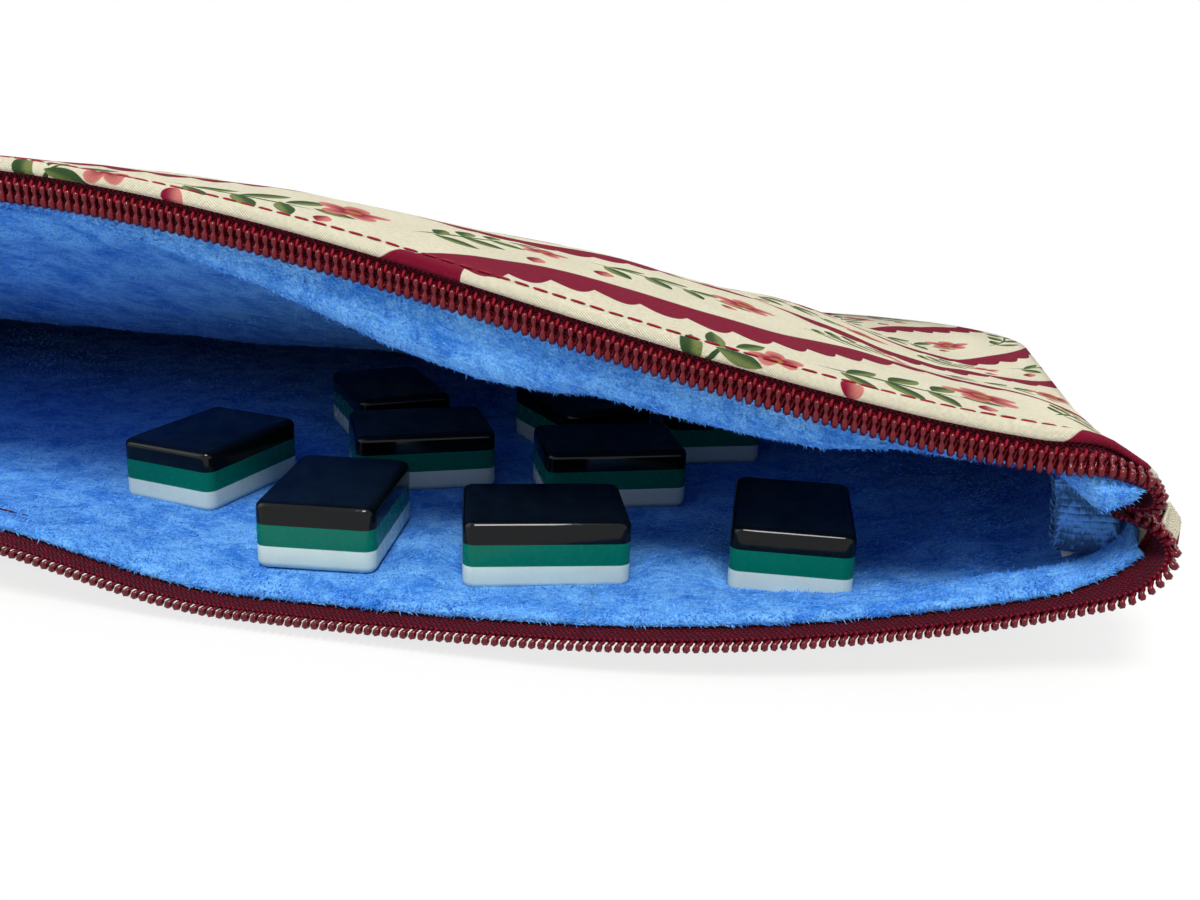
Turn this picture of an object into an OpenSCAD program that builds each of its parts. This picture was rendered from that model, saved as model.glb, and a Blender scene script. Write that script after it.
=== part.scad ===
// Soft padded zip case for mahjong tiles, lying open with loose tiles inside.
// Millimetres. X runs along the mouth, -Y looks out of the mouth, Z is up.
// The origin is the middle of the footprint, on the surface that the case lies on.

/* [Case] */
// Width of the case, along its mouth
case_w = 430; // [400:5:480]
// Depth of the case, from the corners of the mouth to the back seam
case_d = 220; // [200:5:260]
// Radius of the two back corners, seen from above
corner_r = 45; // [30:1:60]
// Height of the side seam at the mouth
seam_front_h = 28; // [26:1:32]
// Height of the seam at the back
seam_back_h = 16; // [12:1:20]
// Run over which the lower panel turns up to its side seams
side_turn = 46; // [36:1:46]
// Run over which the lower panel turns up to its back seam
back_turn = 45; // [30:1:60]

/* [Mouth] */
// How far the lower lip bows out in front of the corners
low_bow = 22; // [16:1:30]
// How far the upper lip bows out in front of the corners
up_bow = 8; // [4:1:14]
// Run over which a lip bows out, from each corner
bow_run = 100; // [80:1:130]
// Height of the lower zip at the middle of the mouth
low_lip_h = 3.8; // [3.4:0.1:6]
// How far the lower zip runs below the side seam at the corners
low_corner_drop = 9.5; // [6:0.5:12]
// Run over which the lower lip climbs to its corners
low_climb = 85; // [60:1:110]
// Height of the upper zip at the middle of the mouth
up_lip_h = 72; // [60:1:85]
// How far the upper zip runs above the side seam at the corners
up_corner_rise = 7.5; // [5:0.5:12]
// How much the top panel crowns above the line from lip to back seam
crown = 3; // [1:0.5:8]

/* [Panels] */
// Thickness of the canvas
canvas_t = 1.2; // [0.8:0.1:1.6]
// Thickness of the wadding
wadding_t = 4.2; // [3:0.1:6]
// Thickness of the plush lining
lining_t = 2; // [1.5:0.1:2.5]
// Clearance between stacked layers
layer_gap = 0.05; // [0.02:0.01:0.1]
// Run from a seam over which the wadding thins out
thin_run = 25; // [15:1:35]
// Clearance between the two panels along their seam
seam_gap = 0.3; // [0.3:0.05:0.6]
// Clearance between a panel and the back of its zip tape
front_room = 0.5; // [0.4:0.05:0.8]

/* [Zip] */
// Pitch of the zip's teeth along the tape
tooth_pitch = 1.6; // [1.5:0.05:2.2]
// Length of a tooth across the tape
tooth_l = 3.4; // [2.8:0.1:4]
// Diameter of a tooth
tooth_d = 1.1; // [0.9:0.05:1.2]
// Diameter of a tooth's head
head_d = 1.45; // [1.2:0.05:1.45]
// Thickness of the tape
tape_t = 0.8; // [0.5:0.1:1]
// Clearance between the teeth and their tape
coil_gap = 0.35; // [0.3:0.05:0.4]
// Width of the lower tape that shows
low_tape_w = 8; // [6:0.5:10]
// Width of the upper tape that shows
up_tape_w = 6.5; // [6:0.5:7]
// Inset of the tape ends from the side of the case
pinch_in = 5; // [4:0.5:7]
// How far behind the corner the tape ends are drawn in
pinch_back = 9; // [8:0.5:12]

/* [Slider] */
// Length of the slider
slider_l = 10; // [9:0.5:11]
// Height of the slider across both rows of teeth
slider_w = 9; // [8:0.5:10]
// Thickness of a slider plate
slider_plate_t = 1.3; // [1:0.1:1.5]
// Gap between the slider's plates
slider_gap = 2.6; // [2.4:0.1:3]
// Gap between the slider and the drawn-in tape ends
slider_park = 1.5; // [1.5:0.1:3]
// Length of the pull, from its pin
pull_l = 24; // [20:0.5:28]
// Width of the pull
pull_w = 5.6; // [5:0.1:6.5]
// Thickness of the pull
pull_t = 1.3; // [1:0.1:1.3]
// Diameter of the pull's pin
pin_d = 1.4; // [1.2:0.1:1.4]
// Width of the slider's bridge
bridge_w = 2.2; // [1.8:0.1:2.3]
// Thickness of the bridge's arch
bridge_t = 0.9; // [0.7:0.1:1.2]

/* [Corner tabs] */
// Width of the folded tab in each corner
tab_w = 11; // [9:0.5:13]
// Length of the tab, from its fold up
tab_l = 14; // [10:0.5:14]
// Thickness of one leaf of the tab
tab_leaf = 1.4; // [1:0.1:1.8]

/* [Tiles] */
// Length of a tile
tile_l = 30; // [26:0.5:31]
// Width of a tile
tile_w = 22.2; // [19:0.2:23]
// Thickness of a tile
tile_h = 12; // [11:0.5:14]
// Thickness of the pale face layer
face_h = 3.8; // [3:0.1:4.5]
// Thickness of the dark back layer
back_h = 4.3; // [3.5:0.1:5]
// Radius of a tile's upright edges
tile_corner_r = 2.2; // [1.5:0.1:3]
// Radius of a tile's other edges
tile_edge_r = 1; // [0.6:0.1:1.3]
// Clearance between the tiles and the lining
tile_gap = 0.4; // [0.4:0.05:0.6]

/* [Hidden] */
TILE_COUNT = 9;

CANVAS = [0.92, 0.88, 0.74];
WADDING = [0.95, 0.95, 0.95];
PLUSH = [0.20, 0.45, 0.82];
ZIP = [0.45, 0.06, 0.13];
METAL = [0.42, 0.10, 0.16];
TILE_FACE = [0.80, 0.86, 0.86];
TILE_CORE = [0.00, 0.40, 0.32];
TILE_BACK = [0.03, 0.03, 0.03];

half_w = case_w / 2;
panel_t = canvas_t + wadding_t + lining_t + 2 * layer_gap;
tooth_reach = tooth_l / 2;
front_reach = low_bow + tooth_reach + head_d / 2;
mouth_y = (front_reach - case_d) / 2;
back_y = mouth_y + case_d;
edge_over_zip = 5;
floor_h = panel_t + tile_gap;
low_corner_h = seam_front_h - low_corner_drop;
up_corner_h = seam_front_h + up_corner_rise;

// Cells of a panel's grid across and front to back, and points along a lip
COLUMNS = 28;
ROWS = 12;
LIP_STEPS = 100;
CURL_STEPS = 6;
// Cells by which the wadding and the lining stop short of the side and back seams
INNER_COLUMNS = 2;
INNER_ROWS = 1;

// ---- rules that the soft shapes follow ----
function clamp01(a) = max(0, min(1, a));
function smooth(a) = let (t = clamp01(a)) t * t * (3 - 2 * t);
// 1 at the seam with a steep end, 0 where the flat begins
function turn(a) = 1 - sqrt(1 - pow(1 - clamp01(a), 2));
// 0 at a corner, 1 on the straight of the lip
function bow(a) = let (t = clamp01(a)) (smooth(t) + 1 - pow(1 - t, 2)) / 2;
function from_side(x) = half_w - abs(x);

// ---- the two lips, where the teeth run ----
CLIMB_POWER = 2.2;
ROUND_SHARE = 0.3;
function low_y(x) = mouth_y - low_bow * bow(from_side(x) / bow_run);
function low_z(x) = low_lip_h
    + (low_corner_h - low_lip_h) * pow(1 - clamp01(from_side(x) / low_climb), CLIMB_POWER);
function up_y(x) = mouth_y - up_bow * bow(from_side(x) / bow_run);
function up_z(x) = let (a = from_side(x) / half_w) up_corner_h
    + (up_lip_h - up_corner_h) * (ROUND_SHARE * sin(90 * a) + (1 - ROUND_SHARE) * smooth(a));
// Lean of the lower tape: it lies back from the lip, and stands on edge at the corners
CURL_START = 6;
LEAN_RUN = 34;
LEAN_MIDDLE = 12;
LEAN_CORNER = -90;
function low_lean(x) = LEAN_MIDDLE
    + (LEAN_CORNER - LEAN_MIDDLE) * smooth(1 - (from_side(x) - CURL_START) / LEAN_RUN);

function lip_point(low, x) = low ? [x, low_y(x), low_z(x)] : [x, up_y(x), up_z(x)];
function bezier(p, t) = pow(1 - t, 3) * p[0] + 3 * t * pow(1 - t, 2) * p[1]
    + 3 * t * t * (1 - t) * p[2] + pow(t, 3) * p[3];
// The right tape end, drawn in behind the corner
CURL_PULL = 7;
function curl(low) = let (
    a = lip_point(low, half_w - CURL_START),
    side = low ? -1 : 1,
    apart = side * (head_d / 2 + tooth_reach),
    b = [half_w - pinch_in, mouth_y + pinch_back, seam_front_h + apart]
) [a, a + [CURL_PULL, 0, 0], [half_w, b.y, (a.z + b.z) / 2], b];
function curl_points(low) = [for (k = [1 : CURL_STEPS]) bezier(curl(low), k / CURL_STEPS)];
function flip_x(points) =
    [for (k = [len(points) - 1 : -1 : 0]) [-points[k].x, points[k].y, points[k].z]];
function lip_path(low) = let (
    reach = half_w - CURL_START,
    straight = [for (k = [0 : LIP_STEPS]) lip_point(low, -reach + 2 * reach * k / LIP_STEPS)]
) concat(flip_x(curl_points(low)), straight, curl_points(low));

function unit(v) = v / norm(v);
function tangent(p, k) = unit(p[min(k + 1, len(p) - 1)] - p[max(k - 1, 0)]);
// Direction from the teeth across the tape
function across(low, x) = low ? [0, cos(low_lean(x)), sin(low_lean(x))] : [0, 0, 1];
// Outward face of the tape
function outward(low, p, k) = let (c = cross(tangent(p, k), across(low, p[k].x)))
    unit(low ? -c : c);

// ---- solids from points ----
// Closed skin between two grids of the same size
module between(lower, upper) {
    m = len(lower[0]);
    n = len(lower);
    count = n * m;
    points = concat([for (row = lower) each row], [for (row = upper) each row]);
    cells = [for (i = [0 : n - 2], j = [0 : m - 2]) i * m + j];
    rim = concat(
        [for (j = [0 : m - 2]) j],
        [for (i = [0 : n - 2]) i * m + m - 1],
        [for (j = [m - 1 : -1 : 1]) (n - 1) * m + j],
        [for (i = [n - 1 : -1 : 1]) i * m]
    );
    faces = concat(
        [for (c = cells) each [[c, c + 1, c + m + 1], [c, c + m + 1, c + m]]],
        [for (c = cells) each [
            [count + c, count + c + m + 1, count + c + 1],
            [count + c, count + c + m, count + c + m + 1]
        ]],
        [for (k = [0 : len(rim) - 1]) let (a = rim[k], b = rim[(k + 1) % len(rim)])
            each [[a, count + a, count + b], [a, count + b, b]]]
    );
    polyhedron(points, faces);
}

// Flat strip swept along a path: each ring holds its four corners
module strip(rings) {
    n = len(rings);
    sides = [for (k = [0 : n - 2], j = [0 : 3]) let (
        a = 4 * k + j, b = 4 * k + (j + 1) % 4
    ) each [[a, b, b + 4], [a, b + 4, a + 4]]];
    last = 4 * n - 4;
    ends = [[0, 2, 1], [0, 3, 2], [last, last + 1, last + 2], [last, last + 2, last + 3]];
    polyhedron([for (r = rings) each r], concat(ends, sides));
}

// ---- panels ----
function corner_inset(y) = let (d = clamp01((y - back_y + corner_r) / corner_r))
    corner_r * (1 - sqrt(1 - d * d));
function row_share(j) = (1 - cos(180 * j / ROWS)) / 2;
function column_share(i) = sin(90 * (2 * i / COLUMNS - 1));
function seam_h(v) = seam_front_h + (seam_back_h - seam_front_h) * v;
function wall_w(v) = half_w - corner_inset(mouth_y + v * case_d);

// How far the layers stand from the seams, as a share of their full thickness
THINNEST = 0.08;
function body(side, back) =
    THINNEST + (1 - THINNEST) * clamp01(side / thin_run) * clamp01(back / thin_run);

// The panels step back from the corners of the mouth, where the tape ends are drawn in
NOTCH_RUN = 17;
NOTCH_ROOM = 4.5;
function notch(x) = (pinch_back + NOTCH_ROOM) * smooth(1 - from_side(x) / NOTCH_RUN);
function low_front(x) =
    low_y(x) + low_tape_w * max(0, cos(low_lean(x))) + tape_t / 2 + front_room + notch(x);
function up_front(x) = up_y(x) + tape_t / 2 + front_room + notch(x);

// The lower lip stands a little proud of the panel near the corners
LIP_LIFT = 3.5;
LIP_LIFT_RUN = 8;
LIP_LIFT_START = 8;
function low_base(x, v, side, back) = let (
    s = turn(side / side_turn), b = turn(back / back_turn),
    lift = LIP_LIFT * smooth(1 - v * case_d / LIP_LIFT_RUN)
        * smooth(from_side(x) / LIP_LIFT_START) * smooth(1 - from_side(x) / low_climb)
) (seam_h(v) - canvas_t) * (1 - (1 - s) * (1 - b)) + lift;

// The top panel falls from its lip to the back seam, and rounds over to the side seams
SHOULDER = 20;
FALL_START = 1.4;
FALL_END = 0.9;
CROWN_AT = 0.55;
function crown_at(x) = crown * sin(180 * smooth(from_side(x) / half_w));
function up_top(x, v, side) = let (
    lip = up_z(x) + edge_over_zip,
    fall = pow(1 - pow(v, FALL_START), FALL_END),
    over = seam_back_h + (lip - seam_back_h) * fall + crown_at(x) * sin(180 * pow(v, CROWN_AT)),
    rise = sqrt(1 - pow(1 - clamp01(side / SHOULDER), 2)),
    edge = seam_h(v) + seam_gap + canvas_t
) edge + max(0, over - edge) * rise;

// Height of a layer's face, from the case's outside inwards
function below_canvas(side, back, depth) =
    min(depth, canvas_t) + max(0, depth - canvas_t) * body(side, back);
function low_level(x, v, side, back, depth) =
    low_base(x, v, side, back) + below_canvas(side, back, depth);
function up_level(x, v, side, back, depth) =
    up_top(x, v, side) - below_canvas(side, back, depth);

// One face of a layer, as a grid from the front to the back. An inner layer takes the same
// grid without its outermost cells, so that the layers nest.
function face_grid(low, depth, inner) = let (
    skip_columns = inner ? INNER_COLUMNS : 0,
    skip_rows = inner ? INNER_ROWS : 0
) [for (j = [0 : ROWS - skip_rows]) [for (i = [skip_columns : COLUMNS - skip_columns]) let (
    v = row_share(j),
    w = wall_w(v),
    x = w * column_share(i),
    front = low ? low_front(x) : up_front(x),
    y = front + v * (back_y - front),
    side = w - abs(x),
    back = back_y - y,
    z = low ? low_level(x, v, side, back, depth) : up_level(x, v, side, back, depth)
) [x, y, z]]];

module low_layer(from, to, inner) {
    between(face_grid(true, from, inner), face_grid(true, to, inner));
}
module up_layer(from, to, inner) {
    between(face_grid(false, to, inner), face_grid(false, from, inner));
}
wadding_from = canvas_t + layer_gap;
lining_from = wadding_from + wadding_t + layer_gap;

module lower_shell() color(CANVAS) low_layer(0, canvas_t, false);
module lower_wadding() color(WADDING) low_layer(wadding_from, wadding_from + wadding_t, true);
module lower_lining() color(PLUSH) low_layer(lining_from, lining_from + lining_t, true);
module upper_shell() color(CANVAS) up_layer(0, canvas_t, false);
module upper_wadding() color(WADDING) up_layer(wadding_from, wadding_from + wadding_t, true);
module upper_lining() color(PLUSH) up_layer(lining_from, lining_from + lining_t, true);

// ---- zip ----
module zip_tape(low, width) {
    p = lip_path(low);
    strip([for (k = [0 : len(p) - 1]) let (
        w = across(low, p[k].x), o = outward(low, p, k) * tape_t / 2
    ) [p[k] - w * tape_t + o, p[k] - w * tape_t - o, p[k] + w * width - o, p[k] + w * width + o]]);
}

// Lengths run along a path, one for each of its points
function run_lengths(p) = [for (k = 0, s = 0; k < len(p);
    k = k + 1, s = s + (k < len(p) ? norm(p[k] - p[k - 1]) : 0)) s];
function at_length(table, axis, s) = lookup(s, [for (row = table) [row[0], row[1][axis]]]);

module tooth(length) {
    cylinder(h = length, d = tooth_d, $fn = 16);
    translate([0, 0, length]) sphere(d = head_d, $fn = 16);
}
module zip_teeth(low) {
    p = lip_path(low);
    s = run_lengths(p);
    table = [for (k = [0 : len(p) - 1]) [s[k], p[k]]];
    count = floor(s[len(p) - 1] / tooth_pitch);
    for (n = [1 : count - 1]) {
        along = n * tooth_pitch;
        at = [for (axis = [0 : 2]) at_length(table, axis, along)];
        ahead = [for (axis = [0 : 2]) at_length(table, axis, along + tooth_pitch)];
        w = across(low, at.x);
        c = cross(unit(ahead - at), w);
        o = unit(low ? -c : c) * (tape_t / 2 + coil_gap + head_d / 2);
        translate(at + o + w * tooth_reach)
            rotate([0, acos(-w.z), atan2(-w.y, -w.x)])
            tooth(tooth_l);
    }
}
module lower_zip_tape() color(ZIP) zip_tape(true, low_tape_w);
module upper_zip_tape() color(ZIP) zip_tape(false, up_tape_w);
module lower_zip_teeth() color(ZIP) zip_teeth(true);
module upper_zip_teeth() color(ZIP) zip_teeth(false);

// ---- slider, parked in the left corner ----
running_gap = 0.3;
POST_IN = 2.2;
POST_D = 2.4;
FLANGE = 0.7;
FLANGE_SHORT = 4.5;
BRIDGE_L = 6.4;
PLATE_R = 2;
PULL_R = 1.6;
PULL_HOLE_D = 2.2;
PULL_HOLE_IN = 3.4;
slider_x = -(half_w - pinch_in - slider_park - slider_l / 2);
slider_y = mouth_y + pinch_back;
slider_z = seam_front_h;
plate_y = slider_gap / 2 + slider_plate_t;
post_x = slider_l / 2 - POST_IN;
pin_y = -plate_y - pin_d / 2 - running_gap;

module at_slider() translate([slider_x, slider_y, slider_z]) children();
module rounded_bar(length, width, r) {
    square([length, width - 2 * r], center = true);
    square([length - 2 * r, width], center = true);
    for (a = [-1, 1], b = [-1, 1])
        translate([a * (length / 2 - r), b * (width / 2 - r)]) circle(r, $fn = 32);
}
// Stands a flat outline up in the plane of the mouth, from y to y + thickness
module upright(y, thickness) translate([0, y + thickness, 0]) rotate([90, 0, 0])
    linear_extrude(thickness) children();

module slider_body() color(METAL) at_slider() {
    for (y = [-plate_y, slider_gap / 2])
        upright(y, slider_plate_t) rounded_bar(slider_l, slider_w, PLATE_R);
    translate([post_x, slider_gap / 2 + 0.1, 0]) rotate([90, 0, 0])
        cylinder(h = slider_gap + 0.2, d = POST_D, $fn = 32);
    for (y = [-plate_y, slider_gap / 2 - FLANGE], z = [-1, 1])
        upright(y, slider_plate_t + FLANGE) translate([-1, z * (slider_w - FLANGE) / 2])
            square([slider_l - FLANGE_SHORT, FLANGE], center = true);
}
module slider_bridge() color(METAL) at_slider() {
    inner = pin_d + 2 * running_gap;
    translate([0, -plate_y - layer_gap, -bridge_w / 2]) linear_extrude(bridge_w) difference() {
        translate([-BRIDGE_L / 2, -inner - bridge_t]) square([BRIDGE_L, inner + bridge_t]);
        translate([-BRIDGE_L / 2 + bridge_t, -inner]) square([BRIDGE_L - 2 * bridge_t, inner + 1]);
    }
}
// The pull hangs in the bridge by its pin, and lies along the mouth at rest
module slider_pull() color(METAL) at_slider() translate([0, pin_y, 0]) {
    window_l = BRIDGE_L - bridge_t - pin_d / 2;
    window_w = bridge_w + 2 * running_gap;
    cylinder(h = pull_w, d = pin_d, center = true, $fn = 24);
    upright(-pull_t / 2, pull_t) difference() {
        translate([pull_l / 2, 0]) rounded_bar(pull_l, pull_w, PULL_R);
        translate([pin_d / 2 - 0.2, -window_w / 2]) square([window_l, window_w]);
        translate([-pull_w, -pull_w / 2]) square([pull_w, pull_w]);
        translate([pull_l - PULL_HOLE_IN, 0]) circle(d = PULL_HOLE_D, $fn = 24);
    }
}
// The joined ends of the two tapes, which run into the parked slider
STOP_INTO = 4;
STOP_END = 0.4;
module bottom_stop() color(ZIP)
    translate([-(half_w - pinch_in) + STOP_END, slider_y, slider_z])
        upright(-tape_t, 2 * tape_t)
            translate([0, -slider_w / 2 + FLANGE + running_gap])
                square([slider_park + STOP_INTO, slider_w - 2 * (FLANGE + running_gap)]);

// ---- folded knitted tab in each corner of the mouth ----
TAB_BEHIND = 4.5;
TAB_IN = 9.6;
TAB_OVER = 0.75;
// Top of the lower lining at a place on it
function lining_top(x, y) = let (
    front = low_front(x), v = (y - front) / (back_y - front)
) low_level(x, v, wall_w(v) - abs(x), back_y - y, lining_from + lining_t);
module corner_tab(side) {
    r = tab_leaf + layer_gap;
    y = slider_y + TAB_BEHIND + r;
    rest = lining_top(half_w - TAB_IN, y - r);
    translate([side * (half_w - TAB_IN) - (side > 0 ? tab_w : 0), y, rest + TAB_OVER + r])
        rotate([90, 0, 90]) linear_extrude(tab_w) difference() {
            union() {
                circle(r, $fn = 32);
                translate([-r, 0]) square([2 * r, tab_l]);
            }
            translate([-layer_gap, 0]) square([2 * layer_gap, tab_l + 1]);
        }
}
module corner_tab_left() color(PLUSH) corner_tab(-1);
module corner_tab_right() color(PLUSH) corner_tab(1);

// ---- tiles ----
// Place of each tile: across from the right side, back from the mouth corners, turn
TILES = [
    [182.8, 32, 79], [144, 7.1, 96.3], [103.7, 6.5, 17.9], [59.4, 19.6, 99.3], [142.7, 51.5, 27],
    [100.4, 51.5, 22.8], [161, 78.5, 126], [113.6, 83, 131], [85.5, 91, 112]
];
module tile_layer(index, from, to) {
    t = TILES[index - 1];
    translate([half_w - t[0], mouth_y + t[1], floor_h]) rotate([0, 0, t[2]]) intersection() {
        linear_extrude(tile_h) rounded_bar(tile_l, tile_w, tile_corner_r);
        translate([0, tile_w / 2, tile_h / 2]) rotate([90, 0, 0])
            linear_extrude(tile_w) rounded_bar(tile_l, tile_h, tile_edge_r);
        translate([-tile_l / 2, 0, tile_h / 2]) rotate([90, 0, 90])
            linear_extrude(tile_l) rounded_bar(tile_w, tile_h, tile_edge_r);
        translate([-tile_l, -tile_l, from]) cube([2 * tile_l, 2 * tile_l, to - from]);
    }
}
module tile_face(k) color(TILE_FACE) tile_layer(k, 0, face_h);
module tile_core(k) color(TILE_CORE) tile_layer(k, face_h, tile_h - back_h);
module tile_back(k) color(TILE_BACK) tile_layer(k, tile_h - back_h, tile_h);

lower_shell();
lower_wadding();
lower_lining();
lower_zip_tape();
lower_zip_teeth();
upper_shell();
upper_wadding();
upper_lining();
upper_zip_tape();
upper_zip_teeth();
bottom_stop();
corner_tab_left();
corner_tab_right();
slider_body();
slider_bridge();
slider_pull();
for (k = [1 : TILE_COUNT]) {
    tile_face(k);
    tile_core(k);
    tile_back(k);
}
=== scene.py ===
"""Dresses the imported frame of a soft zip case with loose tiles.

Lengths in the rules are in millimetres.
"""

import math

import bmesh
import bpy
import numpy as np
from bpy.props import FloatProperty, FloatVectorProperty, IntProperty, PointerProperty
from mathutils import Matrix, Vector, noise


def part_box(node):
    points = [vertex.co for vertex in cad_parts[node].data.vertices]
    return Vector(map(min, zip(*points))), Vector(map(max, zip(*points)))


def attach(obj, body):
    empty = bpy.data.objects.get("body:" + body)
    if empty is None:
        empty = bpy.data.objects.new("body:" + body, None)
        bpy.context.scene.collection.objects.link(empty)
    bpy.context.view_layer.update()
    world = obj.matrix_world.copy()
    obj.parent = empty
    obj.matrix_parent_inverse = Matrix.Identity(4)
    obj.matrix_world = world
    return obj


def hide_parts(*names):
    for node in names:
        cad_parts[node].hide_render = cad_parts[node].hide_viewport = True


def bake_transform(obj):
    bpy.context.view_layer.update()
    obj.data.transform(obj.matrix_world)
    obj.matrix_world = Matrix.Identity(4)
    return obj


bl_info = {
    "name": "Zip Case With Tiles",
    "version": (1, 0, 0),
    "blender": (4, 5, 0),
    "location": "View3D > Sidebar > Zip Case",
    "description": "Builds a padded zip case, its lining and zip, and nine loose tiles",
    "category": "Add Mesh",
}

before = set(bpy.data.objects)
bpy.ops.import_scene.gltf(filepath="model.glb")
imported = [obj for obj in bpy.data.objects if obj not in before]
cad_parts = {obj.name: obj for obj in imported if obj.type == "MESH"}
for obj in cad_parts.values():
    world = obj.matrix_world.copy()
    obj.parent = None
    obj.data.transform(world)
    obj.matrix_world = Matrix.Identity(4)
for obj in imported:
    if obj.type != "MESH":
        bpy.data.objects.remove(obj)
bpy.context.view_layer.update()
MM = 0.001


# ---- sizes and colours that a user would change ----
def length(name, description, default_mm):
    return FloatProperty(
        name=name, description=description, default=default_mm * MM, min=0.0, unit="LENGTH"
    )


def paint(name, description, red, green, blue):
    """A colour given as it looks on screen, from 0 to 255."""

    def linear(part):
        share = part / 255
        return share / 12.92 if share <= 0.04045 else ((share + 0.055) / 1.055) ** 2.4

    return FloatVectorProperty(
        name=name,
        description=description,
        subtype="COLOR",
        size=3,
        min=0.0,
        max=1.0,
        default=(linear(red), linear(green), linear(blue)),
    )


class CaseSizes(bpy.types.PropertyGroup):
    """Sizes of the case and its panels."""

    case_w: length("Width", "Width along the mouth", 430)
    case_d: length("Depth", "Depth from the mouth's corners to the back seam", 220)
    corner_r: length("Corner radius", "Radius of the two back corners", 45)
    seam_front_h: length("Seam at the mouth", "Height of the side seam at the mouth", 28)
    seam_back_h: length("Seam at the back", "Height of the seam at the back", 16)
    side_turn: length("Side turn", "Run over which the lower panel turns up at a side", 46)
    back_turn: length("Back turn", "Run over which the lower panel turns up at the back", 45)
    canvas_t: length("Canvas", "Thickness of the canvas", 1.2)
    panel_t: length("Panel", "Thickness of canvas, wadding and lining", 7.5)
    thin_run: length("Thinning run", "Run over which the wadding thins out to a seam", 25)
    crown: length("Crown", "How much the top panel crowns", 3)


class MouthSizes(bpy.types.PropertyGroup):
    """Sizes of the open mouth."""

    low_bow: length("Lower bow", "How far the lower lip bows out", 22)
    up_bow: length("Upper bow", "How far the upper lip bows out", 8)
    bow_run: length("Bow run", "Run over which a lip bows out", 100)
    low_lip_h: length("Lower lip", "Height of the lower zip at the middle", 3.8)
    low_drop: length("Lower corner", "Drop of the lower zip below the seam at a corner", 9.5)
    low_climb: length("Lower climb", "Run over which the lower lip climbs", 85)
    up_lip_h: length("Upper lip", "Height of the upper zip at the middle", 72)
    up_rise: length("Upper corner", "Rise of the upper zip above the seam at a corner", 7.5)
    sag: length("Lining sag", "Height down to which the loose upper lining sags", 20)


class ZipSizes(bpy.types.PropertyGroup):
    """Sizes of the zip and of the sewing."""

    pitch: length("Pitch", "Pitch of the coil along the tape", 1.6)
    coil_l: length("Coil width", "Width of the coil across the tape", 3.4)
    head_d: length("Head", "Diameter of a coil's head", 1.45)
    tape_t: length("Tape", "Thickness of the tape", 0.8)
    low_tape_w: length("Lower tape", "Width of the lower tape", 8)
    up_tape_w: length("Upper tape", "Width of the upper tape beside its coil", 4.7)
    pinch_back: length("Pinch back", "How far behind the corners the side seam takes over", 9)
    stitch: length("Stitch", "Length of a top stitch with its gap", 3.4)


class TileSizes(bpy.types.PropertyGroup):
    """Sizes of a tile."""

    tile_l: length("Length", "Length of a tile", 30)
    tile_w: length("Width", "Width of a tile", 22.2)
    tile_h: length("Thickness", "Thickness of a tile", 12.8)
    face_h: length("Face", "Thickness of the pale face layer", 4.5)
    back_h: length("Back", "Thickness of the dark back layer", 4.2)
    corner_r: length("Corners", "Radius of the upright edges", 2.2)
    edge_r: length("Edges", "Radius of the other edges", 1.5)
    sink: length("Sink", "How far the tiles sink into the pile", 0.15)


class PileSettings(bpy.types.PropertyGroup):
    """Fibres of the plush lining."""

    low_fibres: IntProperty(
        name="Lower fibres", description="Fibres on the lower lining", default=52000, min=0
    )
    up_fibres: IntProperty(
        name="Upper fibres", description="Fibres on the upper lining", default=30000, min=0
    )
    fibre_l: length("Fibre length", "Length of a pile fibre", 0.95)
    fibre_r: length("Fibre radius", "Radius of a fibre at its root", 0.14)


class CaseColours(bpy.types.PropertyGroup):
    """Colours of the case and the tiles."""

    cream: paint("Cream", "Ground of the canvas", 248, 242, 214)
    burgundy: paint("Burgundy", "Ribbons of the print", 150, 12, 54)
    leaf: paint("Leaf", "Leaves of the print", 56, 86, 46)
    leaf_pale: paint("Pale leaf", "Light side of the leaves", 128, 142, 82)
    blossom: paint("Blossom", "Petals of the print", 226, 138, 128)
    heart: paint("Blossom heart", "Hearts of the blossoms", 190, 120, 60)
    plush_light: paint("Plush, light", "Brushed side of the pile", 116, 184, 250)
    plush_dark: paint("Plush, dark", "Shaded side of the pile", 46, 120, 214)
    knit: paint("Knit", "Corner tabs", 92, 156, 230)
    tape: paint("Tape", "Woven zip tape", 152, 26, 56)
    tape_dark: paint("Tape, dark", "Shadow between the tape's threads", 44, 3, 13)
    nylon: paint("Nylon", "Coil of the zip", 104, 8, 24)
    thread: paint("Thread", "Top stitching", 160, 26, 46)
    wadding: paint("Wadding", "Wadding between canvas and lining", 236, 236, 230)
    tile_back: paint("Tile back", "Dark back of a tile", 5, 8, 9)
    tile_core: paint("Tile core", "Green core of a tile", 0, 106, 86)
    tile_face: paint("Tile face", "Pale face of a tile", 208, 224, 214)


# ---- rules that the soft shapes follow ----
# The rail follows the lip up to here from the side, and then turns into its hairpin
CURL_START = 6.0
# Points of the straight rail that the hairpin takes over, and those that lead into it
CURL_POINTS = 8
CURL_LEAD = 2
# How far the tape leans from level, in degrees, in the middle and at its ends
LEAN = {True: (12.0, 6.0), False: (90.0, 8.0)}
LEAN_START = 32.0
LEAN_END = 12.0
BETWEEN_HAIRPINS = 205.0
EDGE_OVER_ZIP = 5.0
# The top panel: round shoulder at the sides, fall towards the back and crown
SHOULDER = 20.0
FALL_START = 1.4
FALL_END = 0.9
FALL_MORE_AT_SIDE = 1.6
FALL_MORE_RUN = 75.0
CROWN_BACK = 0.55
SEAM_STEP = 0.3
THINNEST = 0.08
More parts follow.
